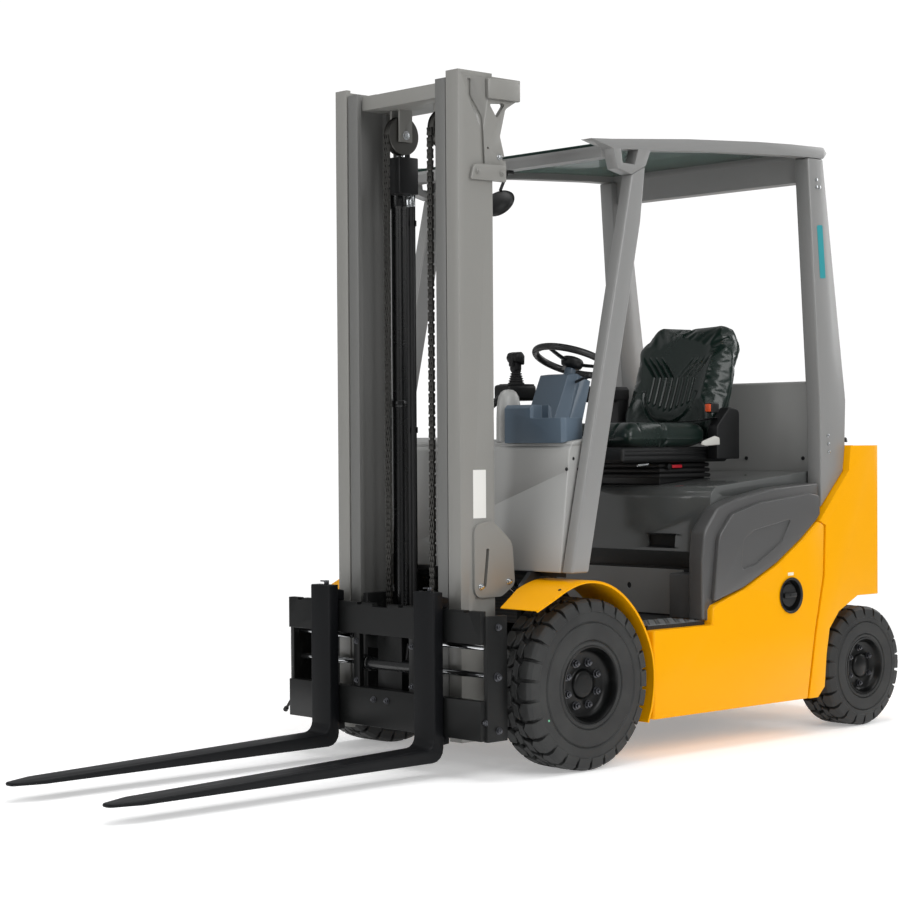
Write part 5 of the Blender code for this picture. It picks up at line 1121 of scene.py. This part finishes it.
# Woven polyester belt, drawn tight from the reel across the back of the cushion.
belt_web = painted("woven_polyester_belt", 0x1A1A1C, 0.78, peel=0.0)
strap_line = [(0.262, -0.905, 1.150), (0.240, -0.880, 1.148), (0.225, -0.862, 1.141), (0.150, -0.858, 1.1365),
              (0.0, -0.858, 1.1330), (-0.150, -0.858, 1.1365), (-0.232, -0.868, 1.139)]
webbing = ((-0.023, 0.0), (0.023, 0.0), (0.023, 0.0014), (-0.023, 0.0014))
work = bmesh.new()
rows = []
for y, x, z in strap_line:
    rows.append([work.verts.new((x + a, y, z + b)) for a, b in webbing])
for first, second in zip(rows, rows[1:]):
    for k in range(4):
        work.faces.new((first[k], first[(k + 1) % 4], second[(k + 1) % 4], second[k]))
work.faces.new(rows[0][::-1])
work.faces.new(rows[-1])
bmesh.ops.recalc_face_normals(work, faces=work.faces)
fitted(softened(as_piece("seat_belt", work), 0.0005, 1), "hood", "seat_vinyl", belt_web)

# ---- driver's guard ---------------------------------------------------------------------------------
# Pillars and roof rails are folded and welded steel, sprayed light grey with the mast. A smoked
# polycarbonate panel closes the roof; the mirror hangs from the front header.
# Light grey two-pack: smooth and half glossy, so the long edges carry a clean highlight.
guard_grey = painted("light_grey_two_pack_paint", 0x848483, 0.32, coat=0.15, peel=0.05, speck=0.02)
for name, side in SIDES:
    front_pillar = pressed(f"guard_front_pillar_{name}", f"front_pillar_{name}", 0.0065, 3, 24.0)
    fitted(front_pillar, "chassis", "grey_paint", guard_grey, f"guard_front_pillar_{name}")
    rear_pillar = pressed(f"guard_rear_pillar_{name}", f"rear_pillar_{name}", 0.0065, 3, 24.0)
    fitted(rear_pillar, "chassis", "grey_paint", guard_grey, f"guard_rear_pillar_{name}")
roof_frame = pressed("guard_roof_frame", "roof_frame_weldment", 0.0045, 2, 26.0)
fitted(roof_frame, "chassis", "grey_paint", guard_grey, "guard_roof_frame")


def smoked(name, colour, grazing_sheen_colour):
    """Smoked clear plastic: dark to look through, with a lighter green painted sheen mixed into its colour
    where it is seen at a low angle.
    """
    made = painted(name, colour, 0.06, coat=0.0, peel=0.0, speck=0.0)
    tree = made.node_tree
    shader = tree.nodes["Principled BSDF"]
    # Painted sheen: the base colour turns a lighter green as the view grazes the surface.
    facing = add_node(tree, "ShaderNodeLayerWeight")
    facing.inputs["Blend"].default_value = 0.35
    mix = add_node(tree, "ShaderNodeMix", [("Factor", facing.outputs["Facing"])], data_type="RGBA")
    mix.inputs[6].default_value = linear(colour)
    mix.inputs[7].default_value = linear(grazing_sheen_colour)
    tree.links.new(mix.outputs[2], shader.inputs["Base Color"])
    shader.inputs["Transmission Weight"].default_value = 0.25
    shader.inputs["IOR"].default_value = 1.10
    return made


# Smoked polycarbonate, 10 mm: the daylight above shows through dimly, and the green edge is a painted sheen
# where the panel is seen at a low angle.
smoked_panel = smoked("smoked_polycarbonate", 0x141918, 0x5F7A72)
panel = pressed("guard_roof_panel", "roof_panel_sheet", 0.0015, 1, 60.0)
fitted(panel, "chassis", "roof_panel", smoked_panel, "guard_roof_panel")
# Blank gloss film labels, teal and white, without any text: flat colour and a faint shine.
label_teal = painted("blank_teal_label_film", 0x1F8F97, 0.30, peel=0.0)
label_white = painted("blank_white_label_film", 0xE4E4E0, 0.35, peel=0.0)
for name, side in SIDES:
    outer = side * 0.5203
    label = plate(f"blank_label_{name}", "Y", *sorted((outer, outer + side * 0.0006)), filleted([
        (-1.146, 1.846, 0.006), (-1.178, 1.848, 0.006), (-1.196, 1.656, 0.006), (-1.164, 1.654, 0.006)]), 0)
    fitted(label, "chassis", "grey_paint", label_teal)
    fixings = [bar("fixing", (x, outer - side * 0.001, z), (x, outer + side * 0.0045, z), 0.0068, 6, 0.0008)
               for x, z in ((-1.142, 2.010), (-1.160, 1.984), (-1.142, 1.984), (-1.2055, 1.0825),
                            (-1.208, 1.052),
                            (-1.211, 1.0225))]
    fitted(joined(f"guard_bolts_{name}", *fixings), "chassis", "grey_paint", bright_zinc)
mirror_arm = bar("arm", (-0.085, 0.012, 2.012), (-0.052, 0.004, 1.935), 0.0055, 14)
mirror_clamp = block("clamp", (-0.098, -0.006, 1.994), (-0.072, 0.026, 2.0055), 0.002)
mirror_shell = spun("shell", [(0.0, 0.020), (0.030, 0.017), (0.052, 0.010), (0.061, 0.0), (0.062, -0.008),
                              (0.058, -0.0095), (0.0, -0.0095)], (-0.045, 0.0, 1.893), (0.94, 0.0, 0.34), 40)
mirror_shell.data.transform(Matrix.Translation((-0.045, 0, 1.893)) @ Matrix.Diagonal((1.0, 1.15, 0.78, 1.0))
                            @ Matrix.Translation((0.045, 0, -1.893)))
fitted(joined("mirror_housing", mirror_arm, mirror_clamp, mirror_shell), "chassis", "black_plastic",
       black_nylon)
# Silvered glass: a true mirror, seen only from the seat.
silvered = painted("silvered_mirror_glass", 0xE8EAEB, 0.03, peel=0.0, metal=1.0, speck=0.0)
mirror_face = bar("face", Vector((-0.045, 0, 1.893)) - Vector((0.94, 0, 0.34)) * 0.0098,
                  Vector((-0.045, 0, 1.893)) - Vector((0.94, 0, 0.34)) * 0.0108, 0.055, 40)
mirror_face.name = "mirror_face"
mirror_face.data.transform(Matrix.Translation((-0.045, 0, 1.893)) @ Matrix.Diagonal((1.0, 1.11, 0.76, 1.0))
                           @ Matrix.Translation((0.045, 0, -1.893)))
fitted(mirror_face, "chassis", "black_plastic", silvered)

# ---- outer mast -----------------------------------------------------------------------------------
# Two hot-rolled channels with a welded foot bearing, tilt ear and head bracket each, sprayed
# light grey. A hose groove and a clamp sit near the top, where a beam joins the brackets.
# Light grey two-pack again, with a little more peel: the tall faces look soft and even.
mast_grey = painted("mast_grey_two_pack_paint", 0x878682, 0.34, coat=0.10, peel=0.08, speck=0.02)
# Ground steel on the top rollers: bare, bright rings.
ground_steel = painted("ground_steel_roller", 0xB8B9BA, 0.22, peel=0.04, metal=1.0)
for name, side in SIDES:
    rail = pressed(f"outer_rail_{name}", f"outer_channel_{name}", 0.0022, 2, 40.0)
    slots = [plate("slot", "Y", *sorted((side * 0.302, side * 0.330)), filleted([
                 (0.306, 0.720, 0.006), (0.318, 0.728, 0.006), (0.334, 0.600, 0.006),
                 (0.322, 0.592, 0.006)]), 0),
             bar("hole", (0.292, side * 0.285, 2.020), (0.292, side * 0.315, 2.020), 0.0040, 24),
             bar("hole", (0.222, side * 0.285, 1.990), (0.222, side * 0.315, 1.990), 0.0070, 24)]
    groove = [(0.3820, 2.2360, 0), (0.3825, 2.1800, 0.030), (0.3303, 2.1150, 0.040), (0.3227, 1.9680, 0),
              (0.3067, 1.9680, 0), (0.3143, 2.1190, 0.050), (0.3665, 2.1840, 0.020), (0.3660, 2.2360, 0)]
    slots.append(plate("groove", "Y", side * 0.3000, side * 0.3300, filleted(groove), 0))
    slots.append(plate("window", "Y", side * 0.2900, side * 0.3300, filleted([
        (0.286, 2.165, 0.006), (0.211, 2.172, 0.006), (0.251, 2.119, 0.006)]), 0))
    rail = carved(rail, *slots)
    fitted(rail, "outer_mast", "grey_paint", mast_grey, f"outer_rail_{name}")
    bolts = [nut("bolt", (0.345, side * 0.3178, 0.600), (0, side, 0), 0.016, 0.009),
             nut("bolt", (0.220, side * 0.3178, 0.612), (0, side, 0), 0.016, 0.009),
             nut("bolt", (0.243, side * 0.3078, 1.994), (0, side, 0), 0.014, 0.008)]
    fitted(joined(f"mast_bolts_{name}", *bolts), "outer_mast", "grey_paint", bright_zinc)
    label = block(f"blank_mast_label_{name}", (0.3113, side * 0.3079, 0.8215),
                  (0.3675, side * 0.3086, 0.9780), 0)
    fitted(label, "outer_mast", "grey_paint", label_white)
    clamp = plate("clamp", "Y", side * 0.3070, side * 0.3210, filleted([
        (0.222, 1.913, 0.005), (0.222, 1.968, 0.005), (0.366, 1.962, 0.020), (0.380, 1.913, 0.005)]), 0.0025,
        2)
    studs = [nut("stud", (x, side * 0.3205, 1.940), (0, side, 0), 0.016, 0.007) for x in (0.243, 0.352)]
    beam_end = block("beam_end", (0.1585, side * 0.3070, 2.1790), (0.3030, side * 0.3240, 2.2430), 0.004)
    fitted(joined(f"mast_clamp_{name}", clamp, *studs, beam_end), "outer_mast", "grey_paint", mast_grey)
    weld = bar(f"ear_weld_{name}", (0.285, side * 0.3085, 0.5645), (0.360, side * 0.3085, 0.5645), 0.0030, 8)
    fitted(weld, "outer_mast", "grey_paint", mast_grey)
for source in ("outer_cross_head", "outer_cross_foot"):
    beam = pressed(source, source.replace("outer_cross", "mast_beam"), 0.003, 2, 40.0)
    fitted(beam, "outer_mast", "grey_paint", mast_grey, source)
# Satin black enamel on the cylinder barrels, glossier than the frame paint.
barrel_enamel = painted("cylinder_satin_black_enamel", 0x0D0E0F, 0.26, coat=0.1, peel=0.06)
for name, side in SIDES:
    x, y = 0.232, side * 0.200
    tube = spun(f"cylinder_tube_{name}", [(0.0, 0.2503), (0.0318, 0.2503), (0.0318, 0.282), (0.0300, 0.286),
                                          (0.0300, 1.866), (0.0345, 1.872), (0.0358, 1.878), (0.0358, 1.934),
                                          (0.0342, 1.944), (0.0290, 1.9515), (0.0216, 1.9515),
                                          (0.0216, 1.930)],
                (x, y, 0.0), (0, 0, 1), 40)
    band = spun("band", [(0.0322, -0.012), (0.0338, -0.010), (0.0338, 0.010), (0.0322, 0.012)], (x, y, 1.20),
                (0, 0, 1), 40)
    port = bar("port", (x - 0.020, y, 0.330), (x - 0.052, y, 0.330), 0.0125, 20, 0.0015)
    union = bar("union", (x - 0.048, y, 0.330), (x - 0.060, y, 0.330), 0.0150, 6, 0.0012)
    fitted(joined(f"cylinder_{name}", tube, band, port, union), "outer_mast", "black_paint", barrel_enamel,
           f"lift_barrel_{name}")
    gland = spun(f"cylinder_gland_{name}", [(0.0213, 0.0), (0.0275, 0.0), (0.0285, 0.002), (0.0285, 0.012),
                                            (0.0250, 0.0150), (0.0215, 0.0150)], (x, y, 1.9505), (0, 0, 1),
                                            36)
    fitted(gland, "outer_mast", "black_paint", black_nylon)

# ---- inner mast -------------------------------------------------------------------------------------
# A second pair of rolled sections nests inside the outer ones. Its top beam carries the lift
# rods and the chain wheels; leaf chains run over the wheels down to the carriage.
# The mast's grey made darker than the outer rails for the inner sections and their foot bar: painted shade
# for where they stand inside the outer channels.
shaded_inner_grey = painted("inner_rail_dark_grey_paint", 0x6A6A68, 0.38, peel=0.08, speck=0.06)
# Hard chrome, ground and polished: almost a mirror along the rod.
hard_chrome = painted("ground_hard_chrome", 0xDADCDE, 0.07, peel=0.0, metal=1.0, speck=0.01)
# Chain plates and wheels under a film of oil: dark metal with soft glints.
oiled_steel = painted("oiled_chain_steel", 0x5F5E5B, 0.30, peel=0.05, metal=0.9, speck=0.15)
for name, side in SIDES:
    # Inner sections in the darker grey, which paints the shade they stand in.
    rail = pressed(f"inner_rail_{name}", f"inner_section_{name}", 0.0020, 2, 40.0)
    fitted(rail, "inner_mast", "grey_paint", shaded_inner_grey, f"inner_rail_{name}")
    polished = spun(f"lift_piston_{name}", [(0.0, 0.2915), (0.0196, 0.2915), (0.0203, 0.294), (0.0203, 2.176),
                                            (0.0188, 2.180), (0.0188, 2.1865), (0.0, 2.1865)],
                    (0.232, side * 0.200, 0.0), (0, 0, 1), 36)
    fitted(polished, "inner_mast", "chrome_rod", hard_chrome, f"lift_rod_{name}")
    roller = spun(f"top_roller_{name}", [(0.0, 0.0), (0.030, 0.0), (0.030, 0.002), (0.0480, 0.002),
                                         (0.0525, 0.004),
                                         (0.0535, 0.008), (0.0535, 0.030), (0.0515, 0.034), (0.0, 0.034)],
                  (0.348, side * 0.234, 2.190), (0, side, 0), 48)
    fitted(roller, "outer_mast", "grey_paint", ground_steel)
top_beam = pressed("inner_cross_head", "chain_wheel_beam", 0.0022, 2, 40.0)
fitted(top_beam, "inner_mast", "grey_paint", mast_grey, "inner_cross_head")
# The foot bar takes the darker grey too: painted shade.
foot_bar = pressed("inner_cross_foot", "inner_mast_foot_bar", 0.002, 2, 40.0)
fitted(foot_bar, "inner_mast", "grey_paint", shaded_inner_grey, "inner_cross_foot")
WHEEL_SPOT = Vector((0.300, 0.110, 2.102))
for name, side in SIDES:
    middle = Vector((WHEEL_SPOT.x, side * WHEEL_SPOT.y, WHEEL_SPOT.z))
    flange = spun(f"chain_wheel_{name}", [(0.0125, -0.0150), (0.0500, -0.0150), (0.0645, -0.0148),
                                          (0.0655, -0.0135),
                                          (0.0612, -0.0128), (0.0606, -0.0125), (0.0606, 0.0125),
                                          (0.0612, 0.0128),
                                          (0.0655, 0.0135), (0.0645, 0.0148), (0.0500, 0.0150),
                                          (0.0125, 0.0150)],
                  middle, (0, 1, 0), 56)
    pin = bar("pin", middle + Vector((0, -0.0275, 0)), middle + Vector((0, 0.0275, 0)), 0.0122, 28, 0.0012)
    circlip = bar("circlip", middle + Vector((0, 0.0258, 0)), middle + Vector((0, 0.0270, 0)), 0.0150, 28)
    fitted(flange, "inner_mast", "grey_paint", oiled_steel)
    fitted(joined(f"chain_wheel_pin_{name}", pin, circlip), "inner_mast", "grey_paint", bright_zinc)


def leaf_chain(name, x, y, low_z, high_z):
    """Leaf chain: rows of thin waisted plates on pins, 19 mm pitch."""
    pitch, thick = 0.0191, 0.0120
    work = bmesh.new()
    count = int((high_z - low_z) / pitch)
    pitch = (high_z - low_z) / count
    for link in range(count):
        start = low_z + link * pitch
        stack = (-0.0112, -0.0016, 0.0080) if link % 2 else (-0.0064, 0.0032)
        for offset in stack:
            outline = []
            for k in range(5):
                turned = math.pi * k / 4
                outline.append((x + math.cos(turned) * thick / 2,
                                start + pitch + 0.0035 + math.sin(turned) * 0.0035))
            outline.append((x - thick * 0.36, start + pitch / 2))
            for k in range(5):
                turned = math.pi + math.pi * k / 4
                outline.append((x + math.cos(turned) * thick / 2, start - 0.0035 + math.sin(turned) * 0.0035))
            outline.append((x + thick * 0.36, start + pitch / 2))
            outline = [(a, min(max(b, low_z), high_z)) for a, b in outline]
            front = [work.verts.new((a, y + offset, b)) for a, b in outline]
            behind = [work.verts.new((a, y + offset + 0.0032, b)) for a, b in outline]
            work.faces.new(front)
            work.faces.new(behind[::-1])
            for k in range(len(front)):
                m = (k + 1) % len(front)
                work.faces.new((front[m], front[k], behind[k], behind[m]))
        ring = []
        for reach in (-0.0125, 0.0125):
            ring.append([work.verts.new((x + 0.0034 * math.cos(a * math.pi / 4), y + reach,
                                         min(start + 0.0034 * math.sin(a * math.pi / 4) + 0.0035, high_z)))
                         for a in range(8)])
        for k in range(8):
            work.faces.new((ring[0][k], ring[0][(k + 1) % 8], ring[1][(k + 1) % 8], ring[1][k]))
        work.faces.new(ring[0][::-1])
        work.faces.new(ring[1])
    bmesh.ops.dissolve_degenerate(work, dist=0.00001, edges=work.edges)
    bmesh.ops.recalc_face_normals(work, faces=work.faces)
    return as_piece(name, work)


for name, side in SIDES:
    chain = leaf_chain(f"leaf_chain_{name}", 0.3663, side * 0.110, 0.4205, 2.1015)
    fitted(chain, None, "chain_steel", oiled_steel, f"lift_chain_{name}")
    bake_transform(chain)

# ---- mast hoses ---------------------------------------------------------------------------------------
# Twin hydraulic hoses run down beside the right chain and are clipped to the mast all the way,
# so they never hang free. Black rubber covers, zinc-plated crimped ends.


def hose(name, route, radius, sides=12):
    """A clipped line swept along a smooth curve through its route points."""
    points = [Vector(p) for p in route]
    spots = []
    for i in range(len(points) - 1):
        before = points[max(0, i - 1)]
        after = points[min(len(points) - 1, i + 2)]
        a, b = points[i], points[i + 1]
        steps = max(2, int((b - a).length / 0.05))
        for k in range(steps):
            t = k / steps
            spots.append(0.5 * ((2 * a) + (b - before) * t + (2 * before - 5 * a + 4 * b - after) * t * t
                                + (3 * a - before - 3 * b + after) * t ** 3))
    spots.append(points[-1])
    work = bmesh.new()
    rings = []
    for i, spot in enumerate(spots):
        way = (spots[min(i + 1, len(spots) - 1)] - spots[max(0, i - 1)]).normalized()
        first = way.cross(Vector((0.31, 0.94, 0.12))).normalized()
        second = way.cross(first)
        rings.append([work.verts.new(spot + first * (radius * math.cos(2 * math.pi * k / sides))
                                     + second * (radius * math.sin(2 * math.pi * k / sides)))
                                     for k in range(sides)])
    for first, second in zip(rings, rings[1:]):
        for k in range(sides):
            work.faces.new((first[k], first[(k + 1) % sides], second[(k + 1) % sides], second[k]))
    work.faces.new(rings[0][::-1])
    work.faces.new(rings[-1])
    bmesh.ops.recalc_face_normals(work, faces=work.faces)
    piece = as_piece(name, work)
    bpy.ops.object.shade_smooth_by_angle(angle=math.radians(60.0))
    return piece


# Synthetic rubber hose cover: matt black, with the faint wrap of the curing cloth.
hose_rubber = moulded("wrapped_hose_rubber", 0x1B1B1C, 0.60, 1.6, 0.18, 0.0)
for number, y in enumerate((-0.1175, -0.1010)):
    line = hose(f"mast_hose_{number + 1}", [(0.262, y, 1.870), (0.262, y, 1.50), (0.262, y, 1.00),
                                            (0.262, y, 0.42)],
                0.0078)
    ends = [bar("crimp", (0.262, y, 1.866), (0.262, y, 1.900), 0.0098, 14, 0.001),
            bar("elbow", (0.262, y, 1.895), (0.262, y, 1.910), 0.0072, 6, 0.0008)]
    fitted(line, "inner_mast", "black_plastic", hose_rubber)
    fitted(joined(f"mast_hose_end_{number + 1}", *ends), "inner_mast", "black_plastic", bright_zinc)
clips = [block("hanger", (0.246, -0.145, 1.906), (0.330, -0.084, 2.030), 0.004),
         block("hanger", (0.246, -0.138, 2.026), (0.262, -0.126, 2.1880), 0.002)]
for z in (0.330, 1.10, 1.80):
    clips.append(block("clip", (0.2500, -0.127, z), (0.2535, -0.091, z + 0.020), 0.001))
    clips.append(block("clip", (0.2535, -0.1100, z), (0.2715, -0.1085, z + 0.020), 0.001))
spine = block("spine", (0.2480, -0.113, 0.330), (0.2505, -0.099, 1.910), 0.0008)
fitted(joined("hose_hanger", spine, *clips), "inner_mast", "black_plastic", black_nylon)

# ---- lift carriage ----------------------------------------------------------------------------------
# Two bars and two roller plates welded up in satin black. The chain anchors are bright threaded
# studs with locknuts; the side-shift cylinder lies between the bars.
# Satin black sprayed straight on the welded steel: rougher than the guard's paint.
carriage_black = painted("carriage_satin_black_paint", 0x0B0C0C, 0.40, peel=0.10, speck=0.10, shine=0.25)
frame_piece = pressed("lift_carriage", "lift_carriage_weldment", 0.0028, 2, 40.0)
fitted(frame_piece, "lift_carriage", "black_paint", carriage_black, "lift_carriage")
anchors = []
for name, side in SIDES:
    x, y = 0.3663, side * 0.110
    anchors.append(bar("stud", (x, y, 0.3600), (x, y, 0.4200), 0.0075, 16, 0.001))
    anchors.append(bar("locknut", (x, y, 0.3660), (x, y, 0.3790), 0.0130, 6, 0.0012))
    for offset in (-0.0132, 0.0100):
        anchors.append(block("clevis", (x - 0.010, y + offset, 0.4200),
                             (x + 0.010, y + offset + 0.0032, 0.4480), 0.001))
    anchors.append(bar("pin", (x, y - 0.0150, 0.4360), (x, y + 0.0150, 0.4360), 0.0042, 12, 0.0006))
fitted(joined("chain_anchors", *anchors), "lift_carriage", "black_paint", bright_zinc)
shift_tube = spun("side_shift_cylinder", [(0.0112, -0.150), (0.0255, -0.150), (0.0265, -0.148),
                                          (0.0265, -0.120),
                                          (0.0235, -0.118), (0.0235, 0.118), (0.0265, 0.120), (0.0265, 0.148),
                                          (0.0255, 0.150), (0.0112, 0.150)], (0.445, 0.0, 0.330), (0, 1, 0),
                                          36)
fitted(shift_tube, "lift_carriage", "black_paint", barrel_enamel)
jumper = hose("carriage_hose", [(0.440, 0.060, 0.352), (0.436, 0.060, 0.380), (0.432, 0.0605, 0.4045)],
              0.0062)
fitted(jumper, "lift_carriage", "black_plastic", hose_rubber)

# ---- side-shifting fork carriage --------------------------------------------------------------------
# Two machined bars with notches for the fork hooks, joined by end plates. The side-shift rod is
# chromed; bolts hold the bearing pads, and a lever frees the fork's locking pin.
bars = pressed("fork_carriage", "fork_carriage_weldment", 0.0026, 2, 40.0)
notches = []
for number in range(9):
    y = -0.420 + number * 0.105
    if abs(abs(y) - 0.262) > 0.070 and abs(y) > 0.02:
        notches.append(plate("notch", "X", 0.455, 0.520, [(y - 0.011, 0.5300), (y + 0.011, 0.5300),
                                                          (y + 0.013, 0.5450), (y - 0.013, 0.5450)], 0))
notches.append(plate("notch", "X", 0.455, 0.520, [(-0.036, 0.5250), (0.036, 0.5250), (0.044, 0.5450),
                                                  (-0.044, 0.5450)], 0))
bars = carved(bars, *notches)
fitted(bars, "fork_carriage", "black_paint", carriage_black, "fork_carriage")
rod_piece = spun("side_shift_rod", [(0.0, -0.4785), (0.0099, -0.4785), (0.0099, 0.4785), (0.0, 0.4785)],
                 (0.445, 0.0, 0.330), (0, 1, 0), 32)
fitted(rod_piece, "fork_carriage", "chrome_rod", hard_chrome)
guides = [bar("guide", (0.4550, side * 0.200, 0.4180), (0.4550, side * 0.4790, 0.4180), 0.0088, 24, 0.001)
          for side in (1, -1)]
fitted(joined("guide_rods", *guides), "fork_carriage", "chrome_rod", hard_chrome)
fixings = []
for name, side in SIDES:
    for z in (0.160, 0.486):
        fixings.append(nut("bolt", (0.440, side * 0.4968, z), (0, side, 0), 0.017, 0.010))
    fixings.append(nut("bolt", (0.445, side * 0.4968, 0.330), (0, side, 0), 0.021, 0.012))
    fixings.append(nut("bolt", (0.5043, side * 0.033, 0.2200), (1, 0, 0), 0.016, 0.008))
    for z in (0.405, 0.275):
        fixings.append(nut("bolt", (0.4873, side * 0.140, z), (1, 0, 0), 0.015, 0.008))
release = [bar("arm", (0.4780, -0.4960, 0.1900), (0.4780, -0.5360, 0.1450), 0.0050, 14, 0.001),
           bar("knob", (0.4780, -0.5330, 0.1484), (0.4780, -0.5440, 0.1360), 0.0085, 16, 0.003)]
fitted(joined("fork_stop_lever", *release), "fork_carriage", "black_plastic", black_nylon)
fixings.append(nut("bolt", (0.4868, 0.488, 0.188), (1, 0, 0), 0.016, 0.008))
fitted(joined("carriage_bolts", *fixings), "fork_carriage", "black_paint", nut_zinc)
pads = []
for name, side in SIDES:
    for z0, z1 in ((0.4370, 0.5080), (0.1570, 0.2270)):
        for y in (0.215, 0.330):
            pads.append(block("pad", (0.4632, side * y, z0), (0.4697, side * (y + 0.040), z1), 0.0012))
fitted(joined("shift_bearing_pads", *pads), "fork_carriage", "black_plastic", black_nylon)

# ---- forks ---------------------------------------------------------------------------------------------
# Forged and heat-treated steel, sprayed dark grey. Each heel is a smooth bend; the paint on the
# blade's top is rubbed to bare steel by pallets, and a locking pin sits in the top hook.


def worn(name, colour, bare):
    """Paint scuffed to steel along the top of the blade, in long streaks."""
    made = painted(name, colour, 0.38, peel=0.08, speck=0.08, shine=0.15)
    tree = made.node_tree
    shader = tree.nodes["Principled BSDF"]
    place = add_node(tree, "ShaderNodeTexCoord").outputs["Object"]
    stretch = add_node(tree, "ShaderNodeMapping", [("Vector", place)])
    stretch.inputs["Scale"].default_value = (3.0, 60.0, 60.0)
    streaks = add_node(tree, "ShaderNodeTexNoise", [("Vector", stretch.outputs["Vector"])], Scale=1.6,
                       Detail=7.0)
    facing = add_node(tree, "ShaderNodeNewGeometry")
    parts_of = add_node(tree, "ShaderNodeSeparateXYZ", [("Vector", facing.outputs["Normal"])])
    upward = add_node(tree, "ShaderNodeMath", [(0, parts_of.outputs["Z"]), (1, streaks.outputs["Fac"])],
                      operation="MULTIPLY")
    level = add_node(tree, "ShaderNodeMapRange", [("Value", upward.outputs["Value"])])
    level.inputs["From Min"].default_value = 0.60
    level.inputs["From Max"].default_value = 0.68
    base = shader.inputs["Base Color"].links[0].from_socket
    mix = add_node(tree, "ShaderNodeMix", [("Factor", level.outputs["Result"])], data_type="RGBA")
    tree.links.new(base, mix.inputs[6])
    mix.inputs[7].default_value = linear(bare)
    tree.links.new(mix.outputs[2], shader.inputs["Base Color"])
    tree.links.new(level.outputs["Result"], shader.inputs["Metallic"])
    return made


# Dark grey forging paint, scuffed to steel where loads slide.
fork_grey = worn("forging_paint_scuffed_dark_grey", 0x101113, 0x4A4B4D)
for name, side in SIDES:
    fork = pressed(f"fork_{name}", f"fork_forging_{name}", 0.0040, 3, 28.0)
    fitted(fork, f"fork_{name}", "fork_paint", fork_grey, f"fork_{name}")
    y = side * 0.262
    pin = [bar("pin", (0.5160, y, 0.5905), (0.5160, y, 0.6045), 0.0085, 20, 0.0012),
           block("lever", (0.5120, y - 0.030, 0.5990), (0.5200, y + 0.006, 0.6035), 0.0014)]
    fitted(joined(f"fork_lock_{name}", *pin), f"fork_{name}", "fork_paint", nut_zinc)

# ---- tilt cylinders ----------------------------------------------------------------------------------
# Short cylinders between frame and mast: black barrels with a screwed gland, chromed rods and
# forged eyes on the mast pins.
PIN_SPOT, EYE_SPOT = Vector((-0.200, 0.0, 0.330)), Vector((0.205, 0.0, 0.620))
TILT_WAY = (EYE_SPOT - PIN_SPOT).normalized()
for name, side in SIDES:
    shift = Vector((0, side * 0.284, 0))
    barrel = pressed(f"tilt_barrel_{name}", f"tilt_cylinder_{name}", 0.002, 2, 50.0)
    gland = spun("gland", [(0.0178, 0.3370), (0.0275, 0.3370), (0.0282, 0.3390), (0.0282, 0.3440),
                           (0.0240, 0.3450),
                           (0.0178, 0.3450)], PIN_SPOT + shift, TILT_WAY, 32)
    band = spun("band", [(0.0288, 0.290), (0.0300, 0.291), (0.0300, 0.306), (0.0288, 0.307)],
                PIN_SPOT + shift,
                TILT_WAY, 32)
    fitted(joined(f"tilt_cylinder_{name}", barrel, gland, band), f"tilt_barrel_{name}", "black_paint",
           barrel_enamel,
           f"tilt_barrel_{name}")
    piston = pressed(f"tilt_rod_{name}", f"tilt_piston_{name}", 0.0014, 2, 50.0)
    fitted(piston, f"tilt_rod_{name}", "chrome_rod", hard_chrome, f"tilt_rod_{name}")
